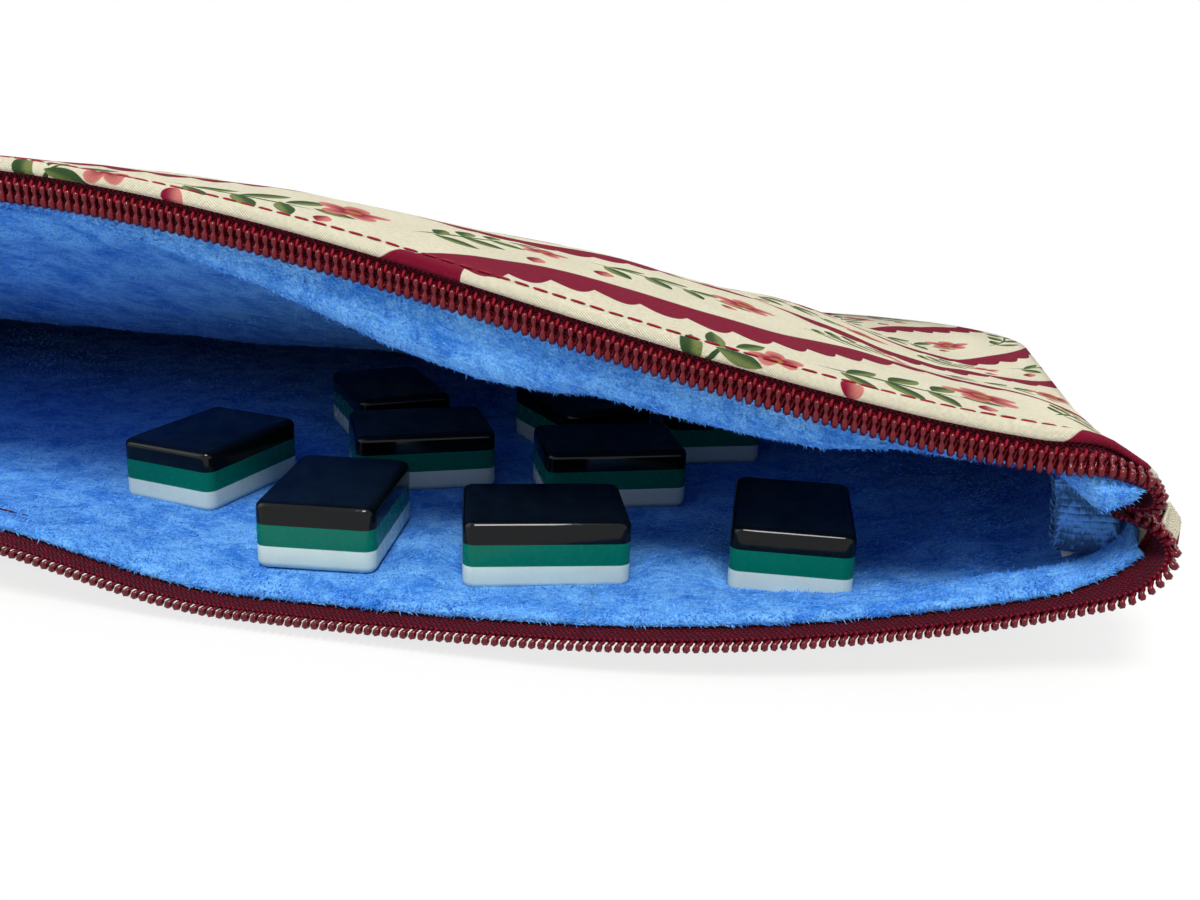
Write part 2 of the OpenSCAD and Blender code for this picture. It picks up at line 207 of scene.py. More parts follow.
# The lower lip waves: it lifts in the middle of the mouth and again towards the corners
LIP_RISE = 9.0
LIP_RISE_RUN = 62.0
LIP_WAVE = 3.0
LIP_WAVE_AT = 148.0
LIP_WAVE_RUN = 45.0
LIP_CLIMB_POWER = 2.2
# How much of the upper lip's arch is round. The rest eases in and out
ARCH_ROUND = 0.3
CORNER_DROP = 1.6
CORNER_RISE = 0.9
CORNER_RUN = 40.0
# The tape ends turn back in a hairpin behind each corner of the mouth: steps from the side of
# the case outwards, from the corner inwards, and from the seam upwards
HAIRPIN = {
    False: [
        (-3.4, -0.2, 7.4), (-1.5, 0.3, 6.1), (-0.6, 1.2, 4.3), (-0.7, 2.8, 2.4),
        (-2.0, 5.6, 1.2), (-5.0, 9.0, 0.7),
    ],
    True: [
        (-4.2, -1.6, -12.2), (-1.6, -1.0, -10.9), (0.5, -0.4, -9.2), (2.0, 0.0, -7.3),
        (2.8, 0.6, -5.2), (2.4, 1.8, -3.6), (0.9, 4.5, -2.5), (-1.6, 7.2, -1.9), (-5.0, 9.0, -1.7),
    ],
}
# The front edge of the lower panel lifts off the table between the corners
LIP_LIFT = 3.5
LIP_LIFT_RUN = 9.0
LIP_LIFT_START = 8.0


def smooth(share):
    share = np.clip(share, 0, 1)
    return share * share * (3 - 2 * share)


def turn(share):
    """1 at a seam, with a steep end, and 0 where the flat begins."""
    return 1 - np.sqrt(np.maximum(0, 1 - (1 - np.clip(share, 0, 1)) ** 2))


def bow(share):
    share = np.clip(share, 0, 1)
    return (smooth(share) + 1 - (1 - share) ** 2) / 2


def unit(vectors):
    return vectors / np.maximum(np.linalg.norm(vectors, axis=-1, keepdims=True), 1e-9)


def fog(x, y, size, seed):
    """Soft noise from -1 to 1 over a plane, at one place for each pair."""
    flat = zip(np.ravel(x) / size, np.ravel(y) / size)
    values = [noise.noise(Vector((a, b, seed))) for a, b in flat]
    return np.array(values).reshape(np.shape(x))


class Form:
    """The case's shape from its sizes. X runs along the mouth, -Y looks out of it."""

    def __init__(self):
        scene = bpy.context.scene
        for group in (scene.case_sizes, scene.mouth_sizes, scene.zip_sizes):
            for name in group.bl_rna.properties.keys():
                if name not in {"rna_type", "name"}:
                    setattr(self, name, getattr(group, name) / MM)
        self.half_w = self.case_w / 2
        front_reach = self.low_bow + (self.coil_l + self.head_d) / 2
        self.mouth_y = (front_reach - self.case_d) / 2
        self.back_y = self.mouth_y + self.case_d
        self.low_corner_h = self.seam_front_h - self.low_drop
        self.up_corner_h = self.seam_front_h + self.up_rise

    def from_side(self, x):
        return self.half_w - np.abs(x)

    def lip(self, low, x):
        """Where the middle of a row of teeth runs."""
        u = self.from_side(x)
        if low:
            y = self.mouth_y - self.low_bow * bow(u / self.bow_run)
            climb = (1 - np.clip(u / self.low_climb, 0, 1)) ** LIP_CLIMB_POWER
            z = self.low_lip_h + (self.low_corner_h - self.low_lip_h) * climb
            wave = LIP_WAVE * np.exp(-(((np.abs(x) - LIP_WAVE_AT) / LIP_WAVE_RUN) ** 2))
            z = z + wave + LIP_RISE * smooth(1 - np.abs(x) / LIP_RISE_RUN)
            z = z - CORNER_DROP * smooth(1 - u / CORNER_RUN)
        else:
            y = self.mouth_y - self.up_bow * bow(u / self.bow_run)
            share = u / self.half_w
            arch = ARCH_ROUND * np.sin(np.pi / 2 * share) + (1 - ARCH_ROUND) * smooth(share)
            z = self.up_corner_h + (self.up_lip_h - self.up_corner_h) * arch
            z = z + CORNER_RISE * smooth(1 - u / CORNER_RUN)
        return np.stack([x + 0 * y, y, z], -1)

    def wall_w(self, y):
        """Half the width of the panels at a place behind the mouth."""
        share = np.clip((y - self.back_y + self.corner_r) / self.corner_r, 0, 1)
        return self.half_w - self.corner_r * (1 - np.sqrt(1 - share * share))

    def share_back(self, x, y, low):
        front = self.lip(low, x)[..., 1] + (self.low_tape_w if low else 0)
        return np.clip((y - front) / (self.back_y - front), 0, 1)

    def seam_h(self, v):
        return self.seam_front_h + (self.seam_back_h - self.seam_front_h) * v

    def body(self, side, back):
        """Share of its full thickness that a panel has, which thins out to the seams."""
        thick = (1 - THINNEST) * np.clip(side / self.thin_run, 0, 1)
        return THINNEST + thick * np.clip(back / self.thin_run, 0, 1)

    def low_base(self, x, y, inset=0.0):
        """Underside of the lower canvas."""
        v = self.share_back(x, y, True)
        side = np.maximum(0, self.wall_w(y) - np.abs(x) - inset)
        back = np.maximum(0, self.back_y - y - inset)
        flat = (1 - turn(side / self.side_turn)) * (1 - turn(back / self.back_turn))
        u = self.from_side(x)
        lift = LIP_LIFT * smooth(1 - v * self.case_d / LIP_LIFT_RUN)
        lift = lift * smooth(u / LIP_LIFT_START) * smooth(1 - u / self.low_climb)
        return (self.seam_h(v) - self.canvas_t) * (1 - flat) + lift

    def up_top(self, x, y, inset=0.0):
        """Outside of the upper canvas."""
        v = self.share_back(x, y, False)
        side = np.maximum(0, self.wall_w(y) - np.abs(x) - inset)
        lip = self.lip(False, x)[..., 2] + EDGE_OVER_ZIP
        fall = (1 - v**FALL_START) ** FALL_END
        side_share = smooth(1 - self.from_side(x) / FALL_MORE_RUN)
        fall = fall ** (1 + FALL_MORE_AT_SIDE * side_share)
        crown = self.crown * np.sin(np.pi * smooth(self.from_side(x) / self.half_w))
        over = self.seam_back_h + (lip - self.seam_back_h) * fall
        over = over + crown * np.sin(np.pi * v**CROWN_BACK)
        rise = np.sqrt(np.maximum(0, 1 - (1 - np.clip(side / SHOULDER, 0, 1)) ** 2))
        edge = self.seam_h(v) + SEAM_STEP + self.canvas_t
        return edge + np.maximum(0, over - edge) * rise

    def padding(self, x, y, inset):
        side = np.maximum(0, self.wall_w(y) - np.abs(x) - inset)
        back = np.maximum(0, self.back_y - y - inset)
        return self.canvas_t + (self.panel_t - self.canvas_t) * self.body(side, back)


def round_off(points, rounds=5):
    """A smooth line through corners that are cut again and again. Its ends stay."""
    for _ in range(rounds):
        a, b = points[:-1], points[1:]
        cut = np.stack([a * 0.75 + b * 0.25, a * 0.25 + b * 0.75], 1).reshape(-1, 3)
        points = np.vstack([points[:1], cut[1:-1], points[-1:]])
    return points


class Rail:
    """Line of one row of teeth, from the left tape end to the right one, with its directions."""

    def __init__(self, form, low):
        reach = form.half_w - CURL_START
        straight = form.lip(low, np.linspace(-reach, reach, 801))
        corner = np.array([form.half_w, form.mouth_y, form.seam_front_h])
        lead = straight[-CURL_POINTS : CURL_LEAD - CURL_POINTS]
        curl = round_off(np.vstack([lead, corner + np.array(HAIRPIN[low])]))
        left = curl[::-1] * np.array([-1, 1, 1])
        self.points = np.vstack([left, straight[CURL_POINTS:-CURL_POINTS], curl])
        steps = np.linalg.norm(np.diff(self.points, axis=0), axis=1)
        self.run = np.concatenate([[0], np.cumsum(steps)])
        self.length = self.run[-1]
        along = unit(np.gradient(self.points, self.run, axis=0))
        end_gap = np.minimum(self.run, self.length - self.run)
        middle, corner_lean = LEAN[low]
        share = smooth((LEAN_START - end_gap) / (LEAN_START - LEAN_END))
        lean = np.radians(middle + (corner_lean - middle) * share)
        across = np.stack([0 * lean, np.cos(lean), np.sin(lean)], -1)
        out = unit(np.cross(along, across)) * (-1 if low else 1)
        self.table = np.hstack([self.points, along, across, out])

    def at(self, q):
        """Place, and directions along, across and outwards, at q from -1 to 1."""
        s = self.run_at(np.asarray(q, float))
        table = self.table
        got = np.stack([np.interp(s, self.run, table[:, k]) for k in range(12)], -1)
        return got[..., :3], unit(got[..., 3:6]), unit(got[..., 6:9]), unit(got[..., 9:])

    def run_at(self, q):
        return (q + 1) / 2 * self.length

    def q_at_run(self, run):
        return 2 * run / self.length - 1

    def q_at_x(self, x):
        """Place along the rail at x, which must lie between its hairpins."""
        inside = np.abs(self.points[:, 0]) < BETWEEN_HAIRPINS
        return self.q_at_run(np.interp(x, self.points[inside, 0], self.run[inside]))

    def end_gap(self, q):
        """Distance along the rail to its nearer end."""
        return (1 - np.abs(q)) / 2 * self.length


# ---- mesh helpers ----
UV_NAME = "Cloth"
MEASURE_AT = 0.45


def add_object(name, data):
    made = bpy.data.objects.new(name, data)
    bpy.context.scene.collection.objects.link(made)
    return made


def new_piece(name, bm, material, sharp=None):
    mesh = bpy.data.meshes.new(name)
    for face in bm.faces:
        face.smooth = True
    bm.to_mesh(mesh)
    bm.free()
    if sharp is not None:
        mesh.set_sharp_from_angle(angle=math.radians(sharp))
    mesh.materials.append(material)
    return add_object(name, mesh)


def worked_in(source, name):
    """A mesh of an object with its modifiers, or its curve's thickness, worked in."""
    bpy.context.view_layer.update()
    graph = bpy.context.evaluated_depsgraph_get()
    mesh = bpy.data.meshes.new_from_object(source.evaluated_get(graph))
    mesh.name = name
    return mesh


def sweep(name, points, radii, bevel, sides, caps, material):
    """A round line through points in millimetres, as a mesh."""
    curve = bpy.data.curves.new(name, "CURVE")
    curve.dimensions = "3D"
    curve.bevel_depth = bevel * MM
    curve.bevel_resolution = sides
    curve.use_fill_caps = caps
    spline = curve.splines.new("POLY")
    spline.points.add(len(points) - 1)
    co = np.hstack([np.asarray(points) * MM, np.ones((len(points), 1))])
    spline.points.foreach_set("co", co.ravel())
    spline.points.foreach_set("radius", radii)
    line = add_object(name + "_curve", curve)
    mesh = worked_in(line, name)
    bpy.data.objects.remove(line)
    mesh.materials.clear()
    mesh.materials.append(material)
    mesh.shade_smooth()
    piece = add_object(name, mesh)
    return piece


def cloth(place, reach, columns, rows, half_width=None):
    """Grid laid on place(q, t), with a UV map of real lengths in metres.

    Lengths along it are measured at MEASURE_AT of its depth, or taken from half_width.
    """
    bm = bmesh.new()
    bmesh.ops.create_grid(bm, x_segments=columns, y_segments=rows, size=1.0)
    flat = np.array([v.co[:2] for v in bm.verts])
    xs = np.unique(np.round(flat[:, 0], 5))
    ys = np.unique(np.round(flat[:, 1], 5))
    i = np.abs(flat[:, :1] - xs[None, :]).argmin(1)
    j = np.abs(flat[:, 1:] - ys[None, :]).argmin(1)
    q = reach[0] + (reach[1] - reach[0]) * (xs + 1) / 2
    t = (ys + 1) / 2
    grid_q, grid_t = np.meshgrid(q, t)
    points = place(grid_q, grid_t)
    steps = np.linalg.norm(np.diff(points, axis=0), axis=-1)
    v_run = np.vstack([np.zeros(len(q)), np.cumsum(steps, axis=0)])
    if half_width is None:
        dense = np.linspace(-1, 1, 401)
        middle = place(dense[None, :], np.full((1, 401), MEASURE_AT))[0]
        arc = np.concatenate([[0], np.cumsum(np.linalg.norm(np.diff(middle, axis=0), axis=-1))])
        u_run = np.interp(grid_q, dense, arc - arc[200])
    else:
        u_run = grid_q * half_width
    uv = bm.loops.layers.uv.new(UV_NAME)
    bm.verts.index_update()
    for vert in bm.verts:
        vert.co = points[j[vert.index], i[vert.index]] * MM
    for face in bm.faces:
        for loop in face.loops:
            a, b = j[loop.vert.index], i[loop.vert.index]
            loop[uv].uv = (u_run[a, b] * MM, v_run[a, b] * MM)
    return bm


def thicken(piece, thickness_mm):
    """Gives a sheet its thickness behind its face."""
    solid = piece.modifiers.new("Thickness", "SOLIDIFY")
    solid.thickness = thickness_mm * MM
    solid.offset = -1
    solid.use_even_offset = False
    sheet = piece.data
    thick = worked_in(piece, piece.name)
    piece.modifiers.clear()
    piece.data = thick
    bpy.data.meshes.remove(sheet)
    return piece


def scatter(name, bm, places, material, uvs=None, smooth_faces=True):
    """One mesh of many copies of a small shape. Each place is a 3x4 array in millimetres."""
    bm.verts.index_update()
    co = np.array([v.co[:] for v in bm.verts])
    faces = [[v.index for v in f.verts] for f in bm.faces]
    bm.free()
    count, n = len(places), len(co)
    moved = np.einsum("kij,nj->kni", places[:, :, :3], co) + places[:, None, :, 3]
    mesh = bpy.data.meshes.new(name)
    sizes = np.array([len(f) for f in faces])
    loops = np.concatenate([np.array(f) for f in faces])
    every = (loops[None, :] + (np.arange(count) * n)[:, None]).ravel()
    mesh.vertices.add(count * n)
    mesh.vertices.foreach_set("co", (moved * MM).astype(np.float32).ravel())
    mesh.loops.add(len(every))
    mesh.loops.foreach_set("vertex_index", every.astype(np.int32))
    mesh.polygons.add(count * len(faces))
    starts = np.concatenate([[0], np.cumsum(np.tile(sizes, count))[:-1]])
    mesh.polygons.foreach_set("loop_start", starts.astype(np.int32))
    mesh.update(calc_edges=True)
    mesh.polygons.foreach_set("use_smooth", np.full(count * len(faces), smooth_faces))
    if uvs is not None:
        layer = mesh.uv_layers.new(name=UV_NAME)
        layer.data.foreach_set("uv", np.repeat(uvs, len(loops), axis=0).astype(np.float32).ravel())
    mesh.materials.append(material)
    return add_object(name, mesh)


def placements(centres, xs, ys, zs):
    """3x4 arrays from places and the three axes of each copy."""
    return np.stack([xs, ys, zs, centres], -1)


def capsule(long, radius):
    """Bead of thread that lies along X."""
    bm = bmesh.new()
    bmesh.ops.create_uvsphere(bm, u_segments=6, v_segments=5, radius=1.0)
    to_x = Matrix.Rotation(math.pi / 2, 3, "Y")
    bmesh.ops.rotate(bm, verts=bm.verts, cent=(0, 0, 0), matrix=to_x)
    for vert in bm.verts:
        x = vert.co.x
        vert.co.x = math.copysign(min(abs(x), 1) ** 0.6, x) * long / 2 if abs(x) > 1e-6 else 0
        vert.co.y *= radius
        vert.co.z *= radius
    return bm


# ---- material helpers ----
class Look:
    """A material with one Principled shader, and short names for its nodes."""

    def __init__(self, name, roughness=0.5):
        self.material = bpy.data.materials.new(name)
        self.material.use_nodes = True
        self.tree = self.material.node_tree
        self.tree.nodes.clear()
        self.shader = self.tree.nodes.new("ShaderNodeBsdfPrincipled")
        out = self.tree.nodes.new("ShaderNodeOutputMaterial")
        self.tree.links.new(self.shader.outputs[0], out.inputs[0])
        self.set("Roughness", roughness)

    def set(self, socket, value):
        self.feed(self.shader.inputs[socket], value)

    def feed(self, socket, value):
        if isinstance(value, bpy.types.NodeSocket):
            self.tree.links.new(value, socket)
        elif hasattr(value, "__len__") and len(value) == 3 and len(socket.default_value) == 4:
            socket.default_value = (*value, 1)
        else:
            socket.default_value = value

    def node(self, kind, **settings):
        made = self.tree.nodes.new(kind)
        for name, value in settings.items():
            setattr(made, name, value)
        return made

    def coords(self, uv=True):
        """The piece's own UV map, or its object coordinates, in millimetres."""
        if uv:
            source = self.node("ShaderNodeUVMap", uv_map=UV_NAME).outputs[0]
        else:
            source = self.node("ShaderNodeTexCoord").outputs["Object"]
        return self.vector("SCALE", source, scale=1 / MM)

    def vector(self, operation, a, b=None, scale=None):
        made = self.node("ShaderNodeVectorMath", operation=operation)
        self.feed(made.inputs[0], a)
        if b is not None:
            self.feed(made.inputs[1], b)
        if scale is not None:
            self.feed(made.inputs["Scale"], scale)
        return made.outputs[0]

    def math(self, operation, a, b=None, c=None):
        made = self.node("ShaderNodeMath", operation=operation)
        for socket, value in zip(made.inputs, (a, b, c)):
            if value is not None:
                self.feed(socket, value)
        return made.outputs[0]

    def times(self, a, b):
        return self.math("MULTIPLY", a, b)

    def times_add(self, a, b, c):
        return self.math("MULTIPLY_ADD", a, b, c)

    def ripple(self, value, wavelength):
        return self.math("SINE", self.times(value, 2 * math.pi / wavelength))

    def split(self, vector):
        made = self.node("ShaderNodeSeparateXYZ")
        self.feed(made.inputs[0], vector)
        return made.outputs[0], made.outputs[1], made.outputs[2]

    def join(self, x, y, z=0.0):
        made = self.node("ShaderNodeCombineXYZ")
        for socket, value in zip(made.inputs, (x, y, z)):
            self.feed(socket, value)
        return made.outputs[0]

    def mix(self, share, a, b):
        made = self.node("ShaderNodeMix", data_type="RGBA")
        self.feed(made.inputs[0], share)
        self.feed(made.inputs[6], a)
        self.feed(made.inputs[7], b)
        return made.outputs[2]

    def noise(self, vector, size, detail=2.0, rough=0.5, warp=0.0):
        """Noise whose grain is about size millimetres."""
        made = self.node("ShaderNodeTexNoise")
        self.feed(made.inputs["Vector"], vector)
        made.inputs["Scale"].default_value = 1 / size
        made.inputs["Detail"].default_value = detail
        made.inputs["Roughness"].default_value = rough
        made.inputs["Distortion"].default_value = warp
        return made.outputs["Fac"]

    def spread(self, value, low, high, to_low=0.0, to_high=1.0):
        made = self.node("ShaderNodeMapRange", interpolation_type="SMOOTHSTEP")
        for socket, given in zip(made.inputs, (value, low, high, to_low, to_high)):
            self.feed(socket, given)
        return made.outputs[0]

    def bump(self, height, depth_mm, strength=1.0, under=None):
        made = self.node("ShaderNodeBump")
        made.inputs["Strength"].default_value = strength
        made.inputs["Distance"].default_value = depth_mm * MM
        self.feed(made.inputs["Height"], height)
        if under is not None:
            self.feed(made.inputs["Normal"], under)
        return made.outputs[0]


def colour(name, share=1.0):
    return tuple(c * share for c in getattr(bpy.context.scene.case_colours, name))


# The print, in millimetres: its cell, how far each row is shifted, and how it lies on the cloth
CELL_W = 78.0
CELL_H = 46.0
ROW_SHIFT = 0.37
PRINT_TURN = 24.0
RIBBON_WAVE = 5.2
RIBBON_AT = 13.2
SCALLOP_W = 7.8
SCALLOP_H = 3.2
# A sprig about its middle: where each leaf starts, its angle and its length
SPRIG = [
    (-9, -1.5, 132, 9.5), (-8, -1.5, -138, 9.0), (-1, 0.5, 128, 10.0), (0, 0.5, -134, 10.5),
    (7, 1.5, 118, 9.0), (8, 1.5, -128, 9.5), (13, 2.0, 176, 8.0),
]
LEAF_SHARE = 0.4
STEM_L = 27.0
# Each sprig of a cell: its middle, its angle and its size
SPRIGS = [((-23, -10), -20, 1.0), ((18, -11), 26, 0.92)]
# Each bud and each blossom of a cell: its middle, and its length or radius
BUDS = [(-34, -17, 5.5), (-9, -19, 4.5), (30, -19, 5.0)]
BUD_ANGLE = 64
BUD_SHARE = 0.72
BLOSSOMS = [(-2.5, -9, 7.0), (34, -8, 5.0)]


def leaf_mask(look, at, centre, angle, long, wide):
    """1 inside a leaf with two pointed ends."""
    mapped = look.node("ShaderNodeMapping", vector_type="TEXTURE")
    look.feed(mapped.inputs["Vector"], at)
    mapped.inputs["Location"].default_value = (*centre, 0)
    mapped.inputs["Rotation"].default_value = (0, 0, math.radians(angle))
    mapped.inputs["Scale"].default_value = (long / 2, wide / 2, 1)
    x, y, _ = look.split(mapped.outputs[0])
    rim = look.times_add(x, x, look.math("ABSOLUTE", y))
    return look.spread(rim, 1.06, 0.94), y


def print_colours(look, at):
    """Wavy ribbons with a scalloped edge, leaf sprigs and small blossoms on a cream ground."""
    x, y, _ = look.split(at)
    turned = math.radians(PRINT_TURN)
    u = look.times_add(y, math.sin(turned), look.times(x, math.cos(turned)))
    v = look.times_add(x, -math.sin(turned), look.times(y, math.cos(turned)))
    row = look.math("FLOOR", look.times_add(v, 1 / CELL_H, 0.5))
    shifted = look.times_add(row, CELL_W * ROW_SHIFT, u)
    cu = look.math("WRAP", shifted, CELL_W / 2, -CELL_W / 2)
    cv = look.math("WRAP", v, CELL_H / 2, -CELL_H / 2)
    cell = look.join(cu, cv)

    wave = look.math("COSINE", look.times(cu, 2 * math.pi / CELL_W))
    off = look.math("SUBTRACT", cv, look.times_add(wave, RIBBON_WAVE, RIBBON_AT))
    scallop = look.math("ABSOLUTE", look.math("SINE", look.times(cu, math.pi / SCALLOP_W)))
    lower = look.times_add(scallop, SCALLOP_H, 4.4)
    under = look.spread(look.math("ADD", off, lower), -0.15, 0.15)
    ribbon = look.times(under, look.spread(off, 4.35, 4.05))
    grain = look.noise(at, 0.9, 3)
    cream = look.mix(look.spread(grain, 0.35, 0.7), colour("cream"), colour("cream", 0.9))
    red = look.mix(grain, colour("burgundy"), colour("burgundy", 0.62))
    made = look.mix(ribbon, cream, red)

    for (x0, y0), tilt, size in SPRIGS:
        turn_by = Matrix.Rotation(math.radians(tilt), 2)
        stem, _ = leaf_mask(look, cell, (x0, y0), tilt + 4, STEM_L * size, 1.0)
        made = look.mix(stem, made, colour("leaf"))
        for x, y, angle, long in SPRIG:
            long = long * size
            start = turn_by @ Vector((x * size, y * size))
            way = math.radians(angle + tilt)
            half = (math.cos(way) * long / 2, math.sin(way) * long / 2)
            centre = (x0 + start.x - half[0], y0 + start.y - half[1])
            mask, y_in = leaf_mask(look, cell, centre, angle + tilt, long, long * LEAF_SHARE)
            shade = look.mix(look.spread(y_in, -0.3, 0.5), colour("leaf"), colour("leaf_pale"))
            made = look.mix(mask, made, shade)
    for x0, y0, long in BUDS:
        mask, y_in = leaf_mask(look, cell, (x0, y0), BUD_ANGLE, long, long * BUD_SHARE)
        shade = look.mix(look.spread(y_in, -0.6, 0.6), colour("blossom"), colour("burgundy"))
        made = look.mix(mask, made, shade)
    for x0, y0, radius in BLOSSOMS:
        dx = look.math("SUBTRACT", cu, x0)
        dy = look.math("SUBTRACT", cv, y0)
        far = look.math("SQRT", look.times_add(dx, dx, look.times(dy, dy)))
        angle = look.times(look.math("ARCTAN2", dy, dx), 2.5)
        lobe = look.times_add(look.math("ABSOLUTE", look.math("COSINE", angle)), 0.42, 0.58)
        edge = look.times(lobe, radius)
        petal = look.spread(look.math("SUBTRACT", far, edge), 0.2, -0.2)
        inner = look.spread(look.math("DIVIDE", far, edge), 0.25, 1.0)
        made = look.mix(petal, made, look.mix(inner, colour("burgundy"), colour("blossom")))
        heart = look.spread(far, radius * 0.26, radius * 0.2)
        made = look.mix(heart, made, colour("heart"))
    return made


def canvas_look():
    look = Look("Printed canvas", 0.85)
    at = look.coords()
    base = print_colours(look, at)
    x, y, _ = look.split(at)
    bend = look.noise(at, 3.0, 2)
    slope = look.times_add(y, 1.25, x)
    slope = look.times_add(bend, 0.5, slope)
    rib = look.ripple(slope, 0.62)
    cross = look.ripple(look.math("SUBTRACT", x, y), 1.1)
    weave = look.times_add(cross, 0.35, rib)
    shade = look.spread(weave, -1.1, 1.1, 0.90, 1.0)
    mottle = look.spread(look.noise(at, 14, 3), 0.3, 0.75, 0.95, 1.02)
    tone = look.times(shade, mottle)
    look.set("Base Color", look.vector("SCALE", base, scale=tone))
    look.set("Sheen Weight", 0.02)
    look.set("Specular IOR Level", 0.08)
    rough = look.bump(weave, 0.15, 1.0)
    look.set("Normal", look.bump(look.noise(at, 5, 3), 0.35, 0.5, rough))
    return look.material


def plush_look(name):
    look = Look(name, 1.0)
    at = look.coords()
    light, dark = colour("plush_light"), colour("plush_dark")
    patches = look.noise(at, 9, 4, 0.6, 0.6)
    streaks = look.noise(look.vector("MULTIPLY", at, (1.0, 2.2, 1.0)), 2.2, 3, 0.6, 0.8)
    share = look.times_add(streaks, 0.45, look.times(patches, 0.6))
    share = look.spread(share, 0.36, 0.68)
    fine = look.noise(at, 0.45, 3, 0.7)
    tone = look.spread(fine, 0.28, 0.72, 0.58, 1.22)
    look.set("Base Color", look.vector("SCALE", look.mix(share, dark, light), scale=tone))
    look.set("Sheen Weight", 0.1)
    look.set("Sheen Roughness", 0.35)
    look.set("Sheen Tint", light)
    look.set("Specular IOR Level", 0.05)
    pile = look.bump(fine, 0.5, 0.7)
    look.set("Normal", look.bump(patches, 1.6, 0.5, pile))
    return look.material


def tape_look(name, uv=True):
    """Herringbone weave: threads that lean one way and the other in turn."""
    look = Look(name, 0.6)
    at = look.coords(uv)
    x, y, z = look.split(at)
    if not uv:
        y = z
    wander = look.times_add(look.noise(at, 1.4, 2), 0.5, y)
    zig = look.times(look.math("PINGPONG", wander, 0.65), 1.5)
    thread = look.ripple(look.math("ADD", x, zig), 0.9)
    cord = look.ripple(wander, 0.65)
    weave = look.times_add(cord, 0.45, thread)
    fleck = look.spread(look.noise(at, 0.5, 2), 0.3, 0.75)
    share = look.times(look.spread(weave, -1.0, 1.0), look.times_add(fleck, 0.5, 0.6))
    look.set("Base Color", look.mix(share, colour("tape_dark"), colour("tape")))
    look.set("Specular IOR Level", 0.2)
    look.set("Normal", look.bump(weave, 0.4, 1.0))
    return look.material


def nylon_look():
    look = Look("Zip nylon", 0.26)
    at = look.coords(False)
    # Random darker blotches, down to 0.55 of the nylon's colour, which also set its roughness.
    blotches = look.noise(at, 1.1, 3)
    look.set("Base Color", look.mix(blotches, colour("nylon"), colour("nylon", 0.55)))
    look.set("Roughness", look.spread(blotches, 0.3, 0.8, 0.14, 0.28))
    look.set("Specular IOR Level", 0.3)
    look.set("Normal", look.bump(look.noise(at, 0.4, 2), 0.05, 0.4))
    return look.material


def thread_look(name, paint_name):
    look = Look(name, 0.55)
    at = look.coords(False)
    x, y, z = look.split(at)
    twist = look.ripple(look.math("ADD", x, look.math("ADD", y, z)), 0.35)
    shadow, thread = colour(paint_name, 0.6), colour(paint_name)
    look.set("Base Color", look.mix(look.spread(twist, -1, 1), shadow, thread))
    look.set("Specular IOR Level", 0.15)
    look.set("Normal", look.bump(twist, 0.05, 0.6))
    return look.material


def wadding_look():
    look = Look("Wadding", 0.95)
    at = look.coords()
    tuft = look.noise(at, 1.4, 4, 0.65)
    look.set("Base Color", look.mix(tuft, colour("wadding", 0.86), colour("wadding")))
    look.set("Sheen Weight", 0.3)
    look.set("Normal", look.bump(tuft, 0.8, 0.6))
    return look.material


def knit_look():
    look = Look("Ribbed knit", 0.95)
    at = look.coords()
    _, y, _ = look.split(at)
    wander = look.times_add(look.noise(at, 1.6), 1.0, y)
    wale = look.ripple(wander, 1.25)
    fuzz = look.noise(at, 0.35, 3, 0.7)
    # Painted shade: the grooves between the ribs are painted darker, down to 0.3 of the knit's
    # colour, with random fuzz tone mixed in.
    share = look.spread(look.times_add(wale, 0.3, fuzz), 0.15, 0.85)
    look.set("Base Color", look.mix(share, colour("knit", 0.3), colour("knit")))
    look.set("Sheen Weight", 0.1)
    look.set("Specular IOR Level", 0.05)
    look.set("Normal", look.bump(fuzz, 0.25, 0.8, look.bump(wale, 0.35, 1.0)))
    return look.material


def metal_look():
    look = Look("Painted slider", 0.35)
    at = look.coords(False)
    blotches = look.noise(at, 2.5, 4, 0.6)
    look.set("Base Color", look.mix(blotches, colour("nylon"), colour("tape", 0.7)))
    look.set("Metallic", 0.35)
    look.set("Roughness", look.spread(blotches, 0.3, 0.75, 0.24, 0.5))
    look.set("Coat Weight", 0.4)
    look.set("Normal", look.bump(look.noise(at, 0.7, 2), 0.04, 0.5))
    return look.material


def tile_look(name, paint_name, gloss, rough, glow=0.0):
    look = Look(name, rough)
    at = look.coords(False)
    cloud = look.noise(at, 6, 2)
    handled = look.noise(at, 1.2, 4, 0.65)
    look.set("Base Color", look.mix(cloud, colour(paint_name), colour(paint_name, 0.88)))
    look.set("Roughness", look.spread(handled, 0.35, 0.8, rough * 0.8, rough * 1.6))
    look.set("Specular IOR Level", gloss)
    look.set("Subsurface Weight", glow)
    look.set("Subsurface Radius", (0.6 * MM, 0.8 * MM, 0.8 * MM))
    look.set("Normal", look.bump(look.noise(at, 3.5, 1), 0.04, 0.35))
    return look.material


# ---- shapes of the soft pieces ----
# The canvas folds over the tape: steps outwards and across, from its hidden edge to the stitching
FOLD = {
    False: np.array([
        (0.45, 4.3), (0.55, 3.7), (0.9, 3.3), (1.4, 3.4), (1.75, 3.95), (1.65, 4.65), (1.2, 5.25),
        (0.45, 5.6), (-0.4, 5.55), (-1.1, 5.1),
    ]),
    True: np.array([
        (0.45, 5.2), (0.6, 4.4), (0.95, 4.0), (1.5, 4.1), (1.8, 4.8), (2.0, 5.6), (2.4, 6.4),
        (3.0, 7.2), (3.6, 8.0), (4.0, 8.8),
    ]),
}
FOLD_SHARE = 0.2
# Behind the fold the rows lie closer together in front, and swing out to the side seams
ROWS_POWER = 1.25
ROWS_SWING = 32.0
# Share of each rail, from its middle, that the canvas and the lining reach
CANVAS_REACH = {False: 0.972, True: 0.958}
LINING_REACH = {False: 0.94, True: 0.93}
